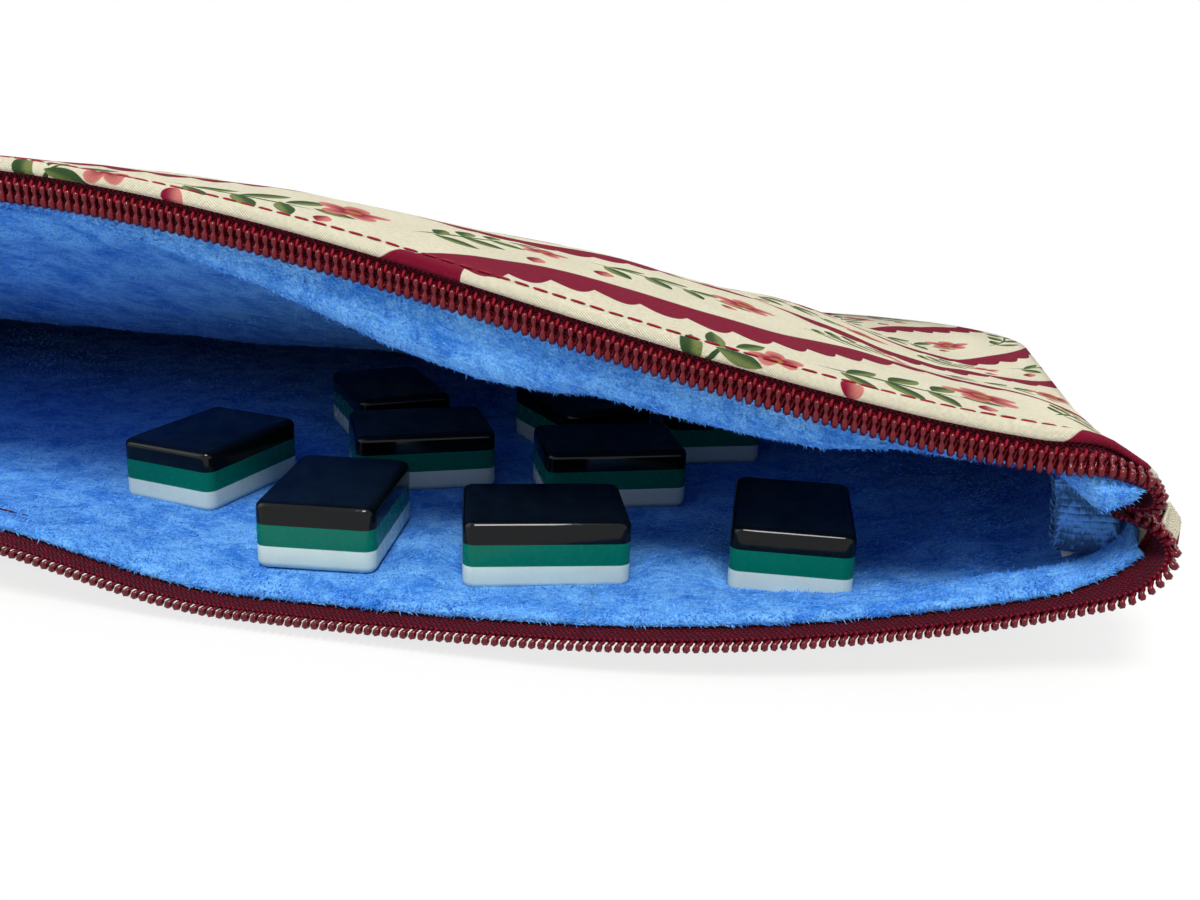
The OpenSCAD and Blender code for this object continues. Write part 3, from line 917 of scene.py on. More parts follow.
# The lower lining's rolled edge: steps inwards and across. It leaves more tape bare at the ends
ROLLED_EDGE = np.array([(0.5, 3.1), (0.65, 2.4), (1.1, 1.95), (1.8, 2.05), (2.3, 2.7), (2.4, 3.8)])
ROLLED_SHARE = 0.09
TAPE_BARE = 4.0
TAPE_BARE_RUN = 18.0
# The upper lining's padded edge: steps outwards and across, and its share of the band's depth
HUNG_OUT = np.array([-0.55, -0.85, -1.1, -1.3, -2.1, -3.6, -5.6])
HUNG_OVER = np.array([1.0, -0.8, -2.0, -2.2, -2.4, -2.6, -2.4])
HUNG_DEPTH = np.array([0, 0, 0.35, 0.75, 1.0, 1.12, 1.05])
HUNG_SHARE = 0.14
# How far that edge hangs below the coil, at places along the mouth
BAND_X = [
    -215, -190, -120, 0, 28, 62, 85, 101, 114, 122, 142, 161, 174, 192, 199, 204, 208, 211,
]
BAND_DEPTH = [
    0.3, 1.0, 2.0, 1.0, 1.5, 5.6, 9.2, 10.0, 8.4, 6.6, 5.8, 4.4, 1.2, 0.0, -0.6, 1.0, 2.4, 0.6,
]
# The loose part of the upper lining: how far back it sags, and where along the mouth
SAG_BELOW_LIP = 6.0
SAG_BACK = 108.0
SAG_POWER = 1.35
SAG_ENDS = ((104.0, 48.0), (-192.0, 60.0))
# The wadding: how far in from the seams, behind the fold and from the canvas it lies
PADDING_INSET = 20.0
PADDING_BACK = 9.0
PADDING_NARROWER = 0.95
PADDING_FREE = {True: 0.15, False: 1.2}
# The linings: how far in from the seams they end, and from the outer face their level is taken
LINING_INSET = 3.5
LINING_BACK = 1.6
# Least distance of each lining from the outer face, and of one from the other
LEAST_LINING = {True: 2.6, False: 3.0}
LININGS_APART = 0.6
# Depth of the dent under a tile, and half its length and width
TILE_DENT = 0.9
DENT_HALF = (15.0, 11.1)
# How far a fold's height is kept behind it
FOLD_KEPT = {True: 5, False: 7}
LINING_KEPT = {True: 16, False: 12}
# Uneven ground: size of its grain, seed and height
UNDER_UNEVEN = [(26, 3.0, 0.5)]
TOP_UNEVEN = [(48, 1.0, 1.5), (17, 2.0, 0.6)]
PUCKERS = [(6, 8.0, 0.35)]
FLOOR_UNEVEN = [(20, 5.0, 0.75), (7, 6.0, 0.45)]
SAG_UNEVEN = [(30, 11.0, 1.6)]
CEILING_UNEVEN = [(16, 12.0, 0.7), (6, 13.0, 0.4)]
# The lower canvas is uneven only this near to its side seams, and in full from this height up
UNDER_LOOSE_SIDE = 30.0
UNDER_LOOSE_H = 12.0
# The top canvas is calm next to its seams and behind its fold. It loosens over these runs
CALM_AT_SEAM = 30.0
CALM_BEHIND_FOLD = 22.0
# Runs over which the puckers behind the stitching fade, and over which they set in
PUCKER_RUN = 9.0
PUCKER_START = 2.0
# How high the lower lining's bumps stand on the whole, and the runs over which it rises round
# a tile and over which both set in behind its rolled edge
FLOOR_RISE = 0.55
DENT_RUN = 5.0
FLOOR_START = 5.0
# Runs over which the ceiling's sag, its unevenness there and its bumps set in
SAG_START = 12.0
SAG_UNEVEN_START = 20.0
CEILING_START = 8.0
# Near the seams the ceiling comes down onto the floor: width of that rim, and where it sets in
RIM_W = 6.0
RIM_START = 16.0
RIM_RUN = 20.0
# Towards the tape ends the padded edge hugs the tape: shares of its steps across and outwards
# that are left there, and where and over which run it comes free
HUG_OVER = 0.4
HUG_OUT = 0.5
HUG_FROM = 3.0
HUG_RUN = 10.0
# The lower lip's three parts, and the place along the mouth where they are split
SPLIT_X = 125.0
# The upper layers' two parts, and their ranges along the rail
UP_PARTS = {"left": (-1.0, 0.0), "right": (0.0, 1.0)}
# Steps back from the mouth's corners, and heights, of two points that the upper lining step works
# out but does not use
LINING_JOIN = ((0.0, 21.0), (6.0, 68.0))
# The part of each panel that stands for the CAD's node
MAIN_PART = {True: "middle", False: "right"}
PANEL = {True: "under", False: "top"}


def uneven(x, y, grains, start=0.0):
    """Sum of soft noises, on top of a start."""
    for size, seed, height in grains:
        start = start + height * fog(x, y, size, seed)
    return start


def stood_for(low, part, layer):
    """The CAD's node that a part replaces. The other parts of a layer replace none."""
    return (f"{'lower' if low else 'upper'}_{layer}",) if part == MAIN_PART[low] else ()


def along_profile(profile, share):
    """Steps outwards and across at a share of the way along a profile."""
    spots = np.linspace(0, 1, len(profile))
    return np.interp(share, spots, profile[:, 0]), np.interp(share, spots, profile[:, 1])


class Case:
    """The soft case: its form, its two rails and the surfaces of its layers."""

    def __init__(self):
        self.form = Form()
        self.rails = {True: Rail(self.form, True), False: Rail(self.form, False)}

    def fold_point(self, low, q, share):
        """A point of the canvas fold beside the tape."""
        place, _, across, out = self.rails[low].at(q * CANVAS_REACH[low])
        outward, over = along_profile(FOLD[low], share)
        return place + out * outward[..., None] + across * over[..., None]

    def behind(self, q, groove, back_share, inset):
        """Where the rows behind the groove lie, in plan."""
        form = self.form
        y = groove[..., 1] + back_share**ROWS_POWER * (form.back_y - inset - groove[..., 1])
        gap = y - groove[..., 1]
        side = (form.wall_w(y) - inset) * q
        x = groove[..., 0] + (side - groove[..., 0]) * smooth(gap / ROWS_SWING)
        return x, y, gap

    def sheet(self, edge, edge_share, inset, height):
        """A layer that starts in a folded edge and runs back to the seams at a given height."""

        def place(q, t):
            start = edge(q, np.ones_like(q))
            folded = edge(q, np.clip(t / edge_share, 0, 1))
            back_share = np.clip((t - edge_share) / (1 - edge_share), 0, 1)
            x, y, gap = self.behind(q, start, back_share, inset)
            panel = np.stack([x, y, height(x, y, gap, start)], -1)
            return np.where((t <= edge_share)[..., None], folded, panel)

        return place

    def canvas(self, low):
        form = self.form
        level = form.low_base if low else form.up_top

        def height(x, y, gap, start):
            z = level(x, y)
            lifted = start[..., 2] - level(start[..., 0], start[..., 1])
            z = z + lifted * np.exp(-gap / FOLD_KEPT[low])
            side = np.maximum(0, form.wall_w(y) - np.abs(x))
            if low:
                loose = z + uneven(x, y, UNDER_UNEVEN) * smooth(z / UNDER_LOOSE_H)
                return np.where(side > UNDER_LOOSE_SIDE, z, loose)
            free = smooth(gap / CALM_BEHIND_FOLD) * smooth(side / CALM_AT_SEAM)
            free = free * smooth((form.back_y - y) / CALM_AT_SEAM)
            z = z + free * uneven(x, y, TOP_UNEVEN)
            puckers = uneven(x, y, PUCKERS) * np.exp(-gap / PUCKER_RUN)
            return z + puckers * smooth(gap / PUCKER_START)

        return self.sheet(lambda q, share: self.fold_point(low, q, share), FOLD_SHARE, 0.0, height)

    def tile_mask(self, x, y, grow):
        """1 under a tile, falling to 0 within grow millimetres of it."""
        near = np.zeros_like(x)
        half_l, half_w = DENT_HALF
        for index in range(TILE_COUNT):
            cx, cy, yaw = tile_spot(self.form, index)
            dx, dy = x - cx, y - cy
            a = np.abs(dx * math.cos(yaw) + dy * math.sin(yaw)) - half_l
            b = np.abs(dy * math.cos(yaw) - dx * math.sin(yaw)) - half_w
            near = np.maximum(near, smooth(1 - np.maximum(a, b) / grow))
        return near

    def floor(self, x, y):
        """Inner face of the lower panel, without its unevenness."""
        padding = self.form.padding(x, y, LINING_BACK)
        return self.form.low_base(x, y, LINING_BACK) + np.maximum(padding, LEAST_LINING[True])

    def ceiling(self, x, y):
        """Inner face of the upper panel, where it is taut."""
        padding = self.form.padding(x, y, LINING_BACK)
        return self.form.up_top(x, y, LINING_BACK) - np.maximum(padding, LEAST_LINING[False])

    def low_lining(self):
        """Inner face of the lower panel, from its rolled edge on the tape to the seams."""
        rail = self.rails[True]

        def edge(q, share):
            spot, _, across, out = rail.at(q * LINING_REACH[True])
            bare = TAPE_BARE * smooth(1 - rail.end_gap(q) / TAPE_BARE_RUN)
            inward, over = along_profile(ROLLED_EDGE, share)
            return spot - out * inward[..., None] + across * (over + bare)[..., None]

        def height(x, y, gap, start):
            lifted = start[..., 2] - self.floor(start[..., 0], start[..., 1])
            z = self.floor(x, y) + lifted * np.exp(-gap / LINING_KEPT[True])
            bumps = np.maximum(0, uneven(x, y, FLOOR_UNEVEN, FLOOR_RISE))
            under = self.tile_mask(x, y, DENT_RUN)
            return z + (bumps * (1 - under) - TILE_DENT * under) * smooth(gap / FLOOR_START)

        return self.sheet(edge, ROLLED_SHARE, LINING_INSET, height)

    def up_lining(self):
        """Inner face of the upper panel, which sags to the left of the loose tiles."""
        form = self.form
        rail = self.rails[False]

        def edge(q, share):
            spot, _, across, out = rail.at(q * LINING_REACH[False])
            free = smooth((rail.end_gap(q) + HUG_FROM) / HUG_RUN)
            marks = np.linspace(0, 1, len(HUNG_OUT))
            deep = np.interp(spot[..., 0], BAND_X, BAND_DEPTH)
            outward = np.interp(share, marks, HUNG_OUT)
            over = np.interp(share, marks, HUNG_OVER) - np.interp(share, marks, HUNG_DEPTH) * deep
            over = over * (HUG_OVER + (1 - HUG_OVER) * free)
            outward = outward * (HUG_OUT + (1 - HUG_OUT) * free)
            return spot + out * outward[..., None] + across * over[..., None]

        def height(x, y, gap, start):
            lifted = start[..., 2] - self.ceiling(start[..., 0], start[..., 1])
            z = self.ceiling(x, y) + lifted * np.exp(-gap / LINING_KEPT[False])
            depth = y - form.mouth_y
            reach = np.clip(depth / SAG_BACK, 0, 1)
            top = form.up_lip_h - SAG_BELOW_LIP
            hung = top - (top - form.sag) * (1 - (1 - reach) ** SAG_POWER)
            hung = hung + uneven(x, y, SAG_UNEVEN) * smooth(depth / SAG_UNEVEN_START)
            (right, right_run), (left, left_run) = SAG_ENDS
            share = smooth((right - x) / right_run) * smooth((x - left) / left_run)
            z = z + (np.minimum(z, hung) - z) * share * smooth(depth / SAG_START)
            z = z + uneven(x, y, CEILING_UNEVEN) * smooth(gap / CEILING_START)
            floor = self.floor(x, y) + LININGS_APART
            rim = np.minimum(form.wall_w(y) - np.abs(x), form.back_y - y) - LINING_INSET
            z = np.maximum(z, floor)
            down = (floor - z) * (1 - smooth(rim / RIM_W))
            return z + down * smooth((gap - RIM_START) / RIM_RUN)

        return self.sheet(edge, HUNG_SHARE, LINING_INSET, height)

    def wadding(self, low):
        """Outer face of the wadding."""
        form = self.form

        def place(q, t):
            groove = self.fold_point(low, q, np.ones_like(q))
            groove = groove * np.array([PADDING_NARROWER, 1, 1]) + np.array([0, PADDING_BACK, 0])
            x, y, _ = self.behind(q, groove, t, PADDING_INSET)
            if low:
                z = form.low_base(x, y) + form.canvas_t + PADDING_FREE[low]
            else:
                z = form.up_top(x, y) - form.canvas_t - PADDING_FREE[low]
            return np.stack([x, y, z], -1)

        return place

    def low_parts(self, reach=1.0):
        """The parts of a layer that reaches this share of the lower rail, and their ranges."""
        split = float(self.rails[True].q_at_x(SPLIT_X)) / reach
        return {"left": (-1.0, -split), "middle": (-split, split), "right": (split, 1.0)}

    def parts(self, reach=1.0):
        """The parts of a layer of both panels: lower or not, its part and its range."""
        upper = [(False, part, span) for part, span in UP_PARTS.items()]
        return upper + [(True, part, span) for part, span in self.low_parts(reach).items()]

    def join(self, piece, low, part):
        """Works a part's placement into its mesh."""
        if low:
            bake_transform(piece)
        else:
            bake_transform(piece)


def finish_cloth(name, bm, material, thickness, flip, nodes):
    if flip:
        bmesh.ops.reverse_faces(bm, faces=bm.faces)
    piece = thicken(new_piece(name, bm, material), thickness)
    if nodes:
        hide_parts(*nodes)
    return piece


# ---- pile fibres ----
FIBRE_SUNK = 0.15
# Which way the fibres lean all over, and how much of a fibre's way is upright, swirled, its own
# and combed
FIBRE_LEAN = (0.25, -0.2, 0)
UPRIGHT, SWIRLED, OWN_WAY, COMBED = 0.45, 0.25, 0.45, 0.55
# Grain of the swirls and of the combed patches, and turns of the comb in radians
SWIRL_SIZE = 9
COMB_SIZE = 5
COMB_TURN = 4.0
# Ranges of a fibre's length and radius as shares of the ones that are set
FIBRE_LONG = (0.6, 1.15)
FIBRE_THICK = (0.8, 1.2)


def add_pile(name, place, reach, count, seed, t_marks, least_t, flip, material):
    """Fibres on a lining surface. Their depths are spread by t_marks."""
    settings = bpy.context.scene.pile_settings
    rng = np.random.default_rng(seed)
    q = rng.uniform(*reach, count)
    t = np.maximum(np.interp(rng.uniform(0, 1, count), *t_marks), least_t)
    step = 0.002
    here = place(q, t)
    side = place(np.clip(q + step, -1, 1), t) - place(np.clip(q - step, -1, 1), t)
    back = place(q, np.clip(t + step, 0, 1)) - place(q, np.clip(t - step, 0, 1))
    normal = unit(np.cross(side, back)) * (-1 if flip else 1)
    lean = unit(rng.normal(size=(count, 3)) + np.array(FIBRE_LEAN))
    swirl = fog(here[:, 0], here[:, 1], SWIRL_SIZE, 21.0)
    comb = fog(here[:, 0], here[:, 1], COMB_SIZE, 31.0) * COMB_TURN
    lie = np.stack([np.cos(comb), np.sin(comb), 0 * comb], -1)
    upright = normal * (UPRIGHT + SWIRLED * swirl[:, None])
    way = unit(upright + lean * OWN_WAY + lie * COMBED)
    long = settings.fibre_l / MM * rng.uniform(*FIBRE_LONG, count)
    radius = settings.fibre_r / MM * rng.uniform(*FIBRE_THICK, count)
    bm = bmesh.new()
    bmesh.ops.create_cone(bm, cap_ends=True, segments=3, radius1=1.0, radius2=0.0, depth=1.0)
    bmesh.ops.translate(bm, verts=bm.verts, vec=(0, 0, 0.5))
    bmesh.ops.remove_doubles(bm, verts=bm.verts, dist=0.01)
    xs = unit(np.cross(way, np.array([0.31, 0.77, 0.55])))
    ys = np.cross(way, xs)
    roots = here - way * FIBRE_SUNK
    places = placements(roots, xs * radius[:, None], ys * radius[:, None], way * long[:, None])
    piece = scatter(name, bm, places, material, here[:, :2] * MM + np.array([0, 0.11]), False)
    return piece


# ---- tiles ----
TILE_COUNT = 9
# Across from the right side, back from the mouth's corners, and turn in degrees
TILE_SPOTS = [
    (182.3, 28.5, 79), (144.4, 5.0, 97), (103.7, 5.0, 17.9), (59.0, 17.6, 94), (142.7, 48, 27),
    (100.4, 49, 22.8), (161, 77.5, 126), (113.6, 82, 131), (85.5, 90, 112),
]


def tile_spot(form, index):
    across, back, yaw = TILE_SPOTS[index]
    return form.half_w - across, form.mouth_y + back, math.radians(yaw)


def tile_block(sizes):
    """A whole tile, with its upright edges rounded more than the others."""
    long, wide, high = (v / MM for v in (sizes.tile_l, sizes.tile_w, sizes.tile_h))
    bm = bmesh.new()
    bmesh.ops.create_cube(bm, size=1.0)
    bmesh.ops.scale(bm, verts=bm.verts, vec=(long, wide, high))
    bmesh.ops.translate(bm, verts=bm.verts, vec=(0, 0, high / 2))
    upright = [e for e in bm.edges if abs(e.verts[0].co.z - e.verts[1].co.z) > 1]
    common = dict(segments=5, profile=0.5, affect="EDGES", material=-1, clamp_overlap=True)
    bmesh.ops.bevel(bm, geom=upright, offset=sizes.corner_r / MM, **common)
    level = [
        e for e in bm.edges
        if abs(e.verts[0].co.z - e.verts[1].co.z) < 1e-4 and len(e.link_faces) == 2
        and abs(e.link_faces[0].normal.z - e.link_faces[1].normal.z) > 0.5
    ]
    bmesh.ops.bevel(bm, geom=level, offset=sizes.edge_r / MM, **common)
    return bm


def tile_layer(block, low, high):
    """The part of a tile between two heights, closed at both cuts."""
    bm = block.copy()
    for height, way in ((low, -1), (high, 1)):
        everything = bm.verts[:] + bm.edges[:] + bm.faces[:]
        cut = bmesh.ops.bisect_plane(
            bm, geom=everything, plane_co=(0, 0, height), plane_no=(0, 0, way), clear_outer=True
        )
        rim = [g for g in cut["geom_cut"] if isinstance(g, bmesh.types.BMEdge)]
        if rim:
            bmesh.ops.contextual_create(bm, geom=rim)
    bmesh.ops.recalc_face_normals(bm, faces=bm.faces)
    return bm


# ---- sewn and wound pieces ----
SEAM_R = 1.35
SEAM_INSET = 1.5
# How far in front of the rail each tape starts, and how much wider it is at its ends
TAPE_FRONT = {False: -1.4, True: -0.7}
TAPE_WIDER = 3.0
TAPE_WIDER_RUN = 22.0
# Ripple of a tape's free edge: its height, turn along the tape for each mm, and turn across it
TAPE_RIPPLE = (0.12, 0.9, 4)
# One turn of the coil: share of the pitch, step across, step outwards and radius
COIL_TURN = [
    (0.0, 1.50, 0.80, 0.46), (0.0, 1.28, 1.30, 0.60), (0.0, 0.75, 1.36, 0.58),
    (0.0, 0.22, 1.20, 0.38), (0.0, -0.20, 1.20, 0.38), (0.0, -0.72, 1.36, 0.60),
    (0.0, -1.20, 1.40, 0.67), (0.02, -1.65, 1.10, 0.67), (0.08, -1.65, 0.60, 0.56),
    (0.22, -1.25, 0.42, 0.42), (0.48, -0.90, 0.34, 0.34), (0.70, 0.40, 0.30, 0.25),
    (0.90, 1.30, 0.45, 0.30),
]
# Share of the canvas, behind its fold, at which the top stitching runs
STITCH_BACK = 0.011
STITCH_OUT = 0.2
STITCH_ENDS = 22.0
STITCH_L = 2.7
STITCH_R = 0.22
KNOT_L = 1.5
KNOT_R = 0.3
# Where a loop of thread lies beside its turn, across and outwards, and how it leans in and along
KNOT_AT = (1.75, 0.85)
KNOT_LEAN = (0.25, 0.2)
# How much shorter a corner tab is than its node, its ribs, and its lean out at its top and foot
TAB_SHORT = 3.0
TAB_RIB = 1.25
TAB_LEAN = (5.6, 7.9)
TAB_T = 1.0
TAB_RIB_H = 0.3
TAB_BELLY = 0.5
# Width of a tab at its foot as a share of its node's, how much of that it loses to its top, and
# the height of its wavy edge
TAB_FLARE = (1.04, 0.16, 0.03)
# Share of a tab's half width at which its edge starts to thin out, and the share this takes
TAB_EDGE = (0.8, 0.2)


# ---- operators ----
class Builder(bpy.types.Operator):
    """Common ground of the building steps."""

    bl_options = {"REGISTER", "UNDO"}

    def execute(self, context):
        self.build(Case(), context.scene)
        return {"FINISHED"}


# Columns and rows of each layer's grid
CANVAS_COLUMNS = {"middle": 90, "left": 60, "right": 60}
CANVAS_TOP_COLUMNS = 118
CANVAS_ROWS = {True: 66, False: 78}
WADDING_GRID = {True: (40, 36), False: (50, 40)}
FLOOR_COLUMNS = {"middle": 110, "left": 62, "right": 62}
FLOOR_ROWS = 100
CEILING_GRID = (190, 110)
TAPE_COLUMNS = {True: 170, False: 240}
TAPE_ROWS = 8
TAB_GRID = (26, 190)
CANVAS_T = 0.9
WADDING_T = 2.6
LINING_T = 1.2


class CASE_OT_canvas(Builder):
    """Builds the printed canvas of both panels, with its fold beside the zip."""

    bl_idname = "zip_case.canvas"
    bl_label = "Printed canvas"

    def build(self, case, scene):
        look = canvas_look()
        for low, part, reach in case.parts(CANVAS_REACH[True]):
            columns = CANVAS_COLUMNS[part] if low else CANVAS_TOP_COLUMNS
            bm = cloth(case.canvas(low), reach, columns, CANVAS_ROWS[low])
            name, nodes = f"canvas_{PANEL[low]}_{part}", stood_for(low, part, "shell")
            piece = finish_cloth(name, bm, look, CANVAS_T, low, nodes)
            case.join(piece, low, part)


class CASE_OT_seam(Builder):
    """Builds the turned seam where the two panels meet, round the sides and the back."""

    bl_idname = "zip_case.seam"
    bl_label = "Side and back seam"

    def build(self, case, scene):
        form = case.form
        turn_at = form.back_y - form.corner_r
        corner_x = form.half_w - form.corner_r
        angles = np.radians(np.linspace(0, 90, 14))[1:]
        start = form.mouth_y + form.pinch_back + 1
        side = [(form.half_w, y) for y in np.linspace(start, turn_at, 36)]
        for angle in angles:
            x = corner_x + form.corner_r * math.cos(angle)
            side.append((x, turn_at + form.corner_r * math.sin(angle)))
        across = [(x, form.back_y) for x in np.linspace(corner_x, -corner_x, 40)[1:-1]]
        points = []
        for x, y in side + across + [(-x, y) for x, y in reversed(side)]:
            inward = Vector((math.copysign(1, x), 0, 0))
            if y > turn_at:
                round_x = max(0, abs(x) - corner_x) * inward.x
                inward = Vector((round_x, y - turn_at, 0)).normalized()
            spot = Vector((x, y, 0)) - inward * SEAM_INSET
            v = np.clip((y - form.mouth_y) / form.case_d, 0, 1)
            points.append((spot.x, spot.y, form.seam_h(v) + 0.1))
        look = thread_look("Seam allowance", "cream")
        radii = np.ones(len(points))
        piece = sweep("panel_seam", points, radii, SEAM_R, 3, False, look)
        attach(piece, "base")


class CASE_OT_wadding(Builder):
    """Builds the wadding between canvas and lining."""

    bl_idname = "zip_case.wadding"
    bl_label = "Wadding"

    def build(self, case, scene):
        look = wadding_look()
        for low, part, reach in case.parts(CANVAS_REACH[True]):
            bm = cloth(case.wadding(low), reach, *WADDING_GRID[low])
            name, nodes = f"padding_{PANEL[low]}_{part}", stood_for(low, part, "wadding")
            piece = finish_cloth(name, bm, look, WADDING_T, low, nodes)
            case.join(piece, low, part)


class CASE_OT_lower_lining(Builder):
    """Builds the plush floor of the case and its pile."""

    bl_idname = "zip_case.lower_lining"
    bl_label = "Lower lining"

    def build(self, case, scene):
        look = plush_look("Plush lining")
        place = case.low_lining()
        half_width = case.rails[True].length / 2
        total = scene.pile_settings.low_fibres
        marks = ([0, 0.12, 0.62, 1.0], [0.03, 0.10, 0.45, 0.98])
        for seed, (part, reach) in enumerate(case.low_parts(LINING_REACH[True]).items()):
            bm = cloth(place, reach, FLOOR_COLUMNS[part], FLOOR_ROWS, half_width)
            name, nodes = f"lining_floor_{part}", stood_for(True, part, "lining")
            piece = finish_cloth(name, bm, look, LINING_T, False, nodes)
            case.join(piece, True, part)
            count = int(total * (reach[1] - reach[0]) / 2)
            name = f"pile_floor_{part}"
            fibres = add_pile(name, place, reach, count, seed, marks, 0.02, False, look)
            case.join(fibres, True, part)


class CASE_OT_upper_lining(Builder):
    """Builds the plush ceiling of the case, its hanging edge and its pile."""

    bl_idname = "zip_case.upper_lining"
    bl_label = "Upper lining"

    def build(self, case, scene):
        look = plush_look("Plush ceiling")
        place = case.up_lining()
        whole = (-1.0, 1.0)
        bm = cloth(place, whole, *CEILING_GRID, case.rails[False].length / 2)
        nodes = ("upper_lining",)
        piece = finish_cloth("lining_ceiling", bm, look, LINING_T, True, nodes)
        mouth_y = case.form.mouth_y
        low, high = ((0, (mouth_y + back) * MM, z * MM) for back, z in LINING_JOIN)
        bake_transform(piece)
        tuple(low)
        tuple(high)
        marks = ([0, 0.45, 1.0], [0.0, 0.16, 0.9])
        count = scene.pile_settings.up_fibres
        fibres = add_pile("pile_ceiling", place, whole, count, 9, marks, 0.03, True, look)
        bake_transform(fibres)
        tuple(low)
        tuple(high)


class CASE_OT_zip_tapes(Builder):
    """Builds the woven tapes of the zip."""

    bl_idname = "zip_case.zip_tapes"
    bl_label = "Zip tapes"

    def tape(self, case, low):
        rail, form, front = case.rails[low], case.form, TAPE_FRONT[low]
        width = form.low_tape_w if low else form.up_tape_w

        def place(q, t):
            spot, _, across, out = rail.at(q)
            wide = width + TAPE_WIDER * smooth(1 - rail.end_gap(q) / TAPE_WIDER_RUN)
            over = front + t * (wide - front)
            height, turn_along, turn_across = TAPE_RIPPLE
            ripple = height * np.sin(q * rail.length * turn_along + t * turn_across) * t
            return spot + across * over[..., None] + out * (form.tape_t / 2 + ripple)[..., None]

        return place

    def build(self, case, scene):
        look = tape_look("Woven tape")
        for low, part, reach in case.parts():
            grid = (TAPE_COLUMNS[low], TAPE_ROWS)
            bm = cloth(self.tape(case, low), reach, *grid, case.rails[low].length / 2)
            name, nodes = f"tape_{PANEL[low]}_{part}", stood_for(low, part, "zip_tape")
            piece = finish_cloth(name, bm, look, case.form.tape_t, low, nodes)
            case.join(piece, low, part)


class CASE_OT_zip_coils(Builder):
    """Winds the nylon coils of the zip."""

    bl_idname = "zip_case.zip_coils"
    bl_label = "Zip coils"

    def coil(self, name, rail, pitch, reach, look):
        first = int(math.ceil(rail.run_at(reach[0]) / pitch))
        last = int(math.ceil(rail.run_at(reach[1]) / pitch - 1e-6))
        turns = np.arange(max(first, 1), min(last, int(rail.length / pitch) - 1))
        table = np.array([(n + step, *shape) for n in turns for step, *shape in COIL_TURN])
        place, _, across, out = rail.at(rail.q_at_run(table[:, 0] * pitch))
        points = place + across * table[:, 1:2] + out * table[:, 2:3]
        return sweep(name, points, table[:, 3], 1.0, 1, True, look)

    def build(self, case, scene):
        look = nylon_look()
        for low, part, reach in case.parts():
            name = f"coil_{PANEL[low]}_{part}"
            piece = self.coil(name, case.rails[low], case.form.pitch, reach, look)
            nodes = stood_for(low, part, "zip_teeth")
            if nodes:
                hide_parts(*nodes)
            case.join(piece, low, part)


class CASE_OT_stitching(Builder):
    """Sews the top stitching beside the zip, and the rows that hold the coils to their tapes."""

    bl_idname = "zip_case.stitching"
    bl_label = "Stitching"

    def row(self, name, case, low, reach, look):
        """Stitches along the groove behind the fold of the canvas."""
        rail, pitch, sheet = case.rails[low], case.form.stitch, case.canvas(low)
        share = FOLD_SHARE + (1 - FOLD_SHARE) * STITCH_BACK
        outwards = np.array([0, 0, -STITCH_OUT if low else STITCH_OUT])

        def point(q):
            return sheet(q, np.full_like(q, share)) + outwards

        count = int((reach[1] - reach[0]) / 2 * rail.length / pitch)
        q = reach[0] + (np.arange(count) + 0.5) * 2 * pitch / rail.length
        q = q[np.abs(q) < 1 - STITCH_ENDS / rail.length]
        along = unit(point(q + 0.001) - point(q - 0.001))
        _, _, _, out = rail.at(q)
        ys = unit(np.cross(out, along))
        places = placements(point(q), along, ys, np.cross(along, ys))
        return scatter(name, capsule(STITCH_L, STITCH_R), places, look)

    def knots(self, name, rail, reach, pitch, look):
        """One loop of thread between each turn of the coil and the tape."""
        turns = np.arange(math.ceil(rail.run_at(reach[0]) / pitch), rail.run_at(reach[1]) / pitch)
        turns = turns[(turns > 1) & (turns < rail.length / pitch - 2)]
        here, along, across, out = rail.at(rail.q_at_run((turns + 0.5) * pitch))
        here = here + across * KNOT_AT[0] + out * KNOT_AT[1]
        way = unit(across - out * KNOT_LEAN[0] + along * KNOT_LEAN[1])
        zs = unit(np.cross(way, along))
        places = placements(here, way, np.cross(zs, way), zs)
        return scatter(name, capsule(KNOT_L, KNOT_R), places, look)

    def build(self, case, scene):
        look = thread_look("Top thread", "thread")
        pitch = case.form.pitch
        for low, part, reach in case.parts():
            place = f"{PANEL[low]}_{part}"
            case.join(self.row(f"stitches_{place}", case, low, reach, look), low, part)
            sewing = self.knots(f"coil_sewing_{place}", case.rails[low], reach, pitch, look)
            case.join(sewing, low, part)


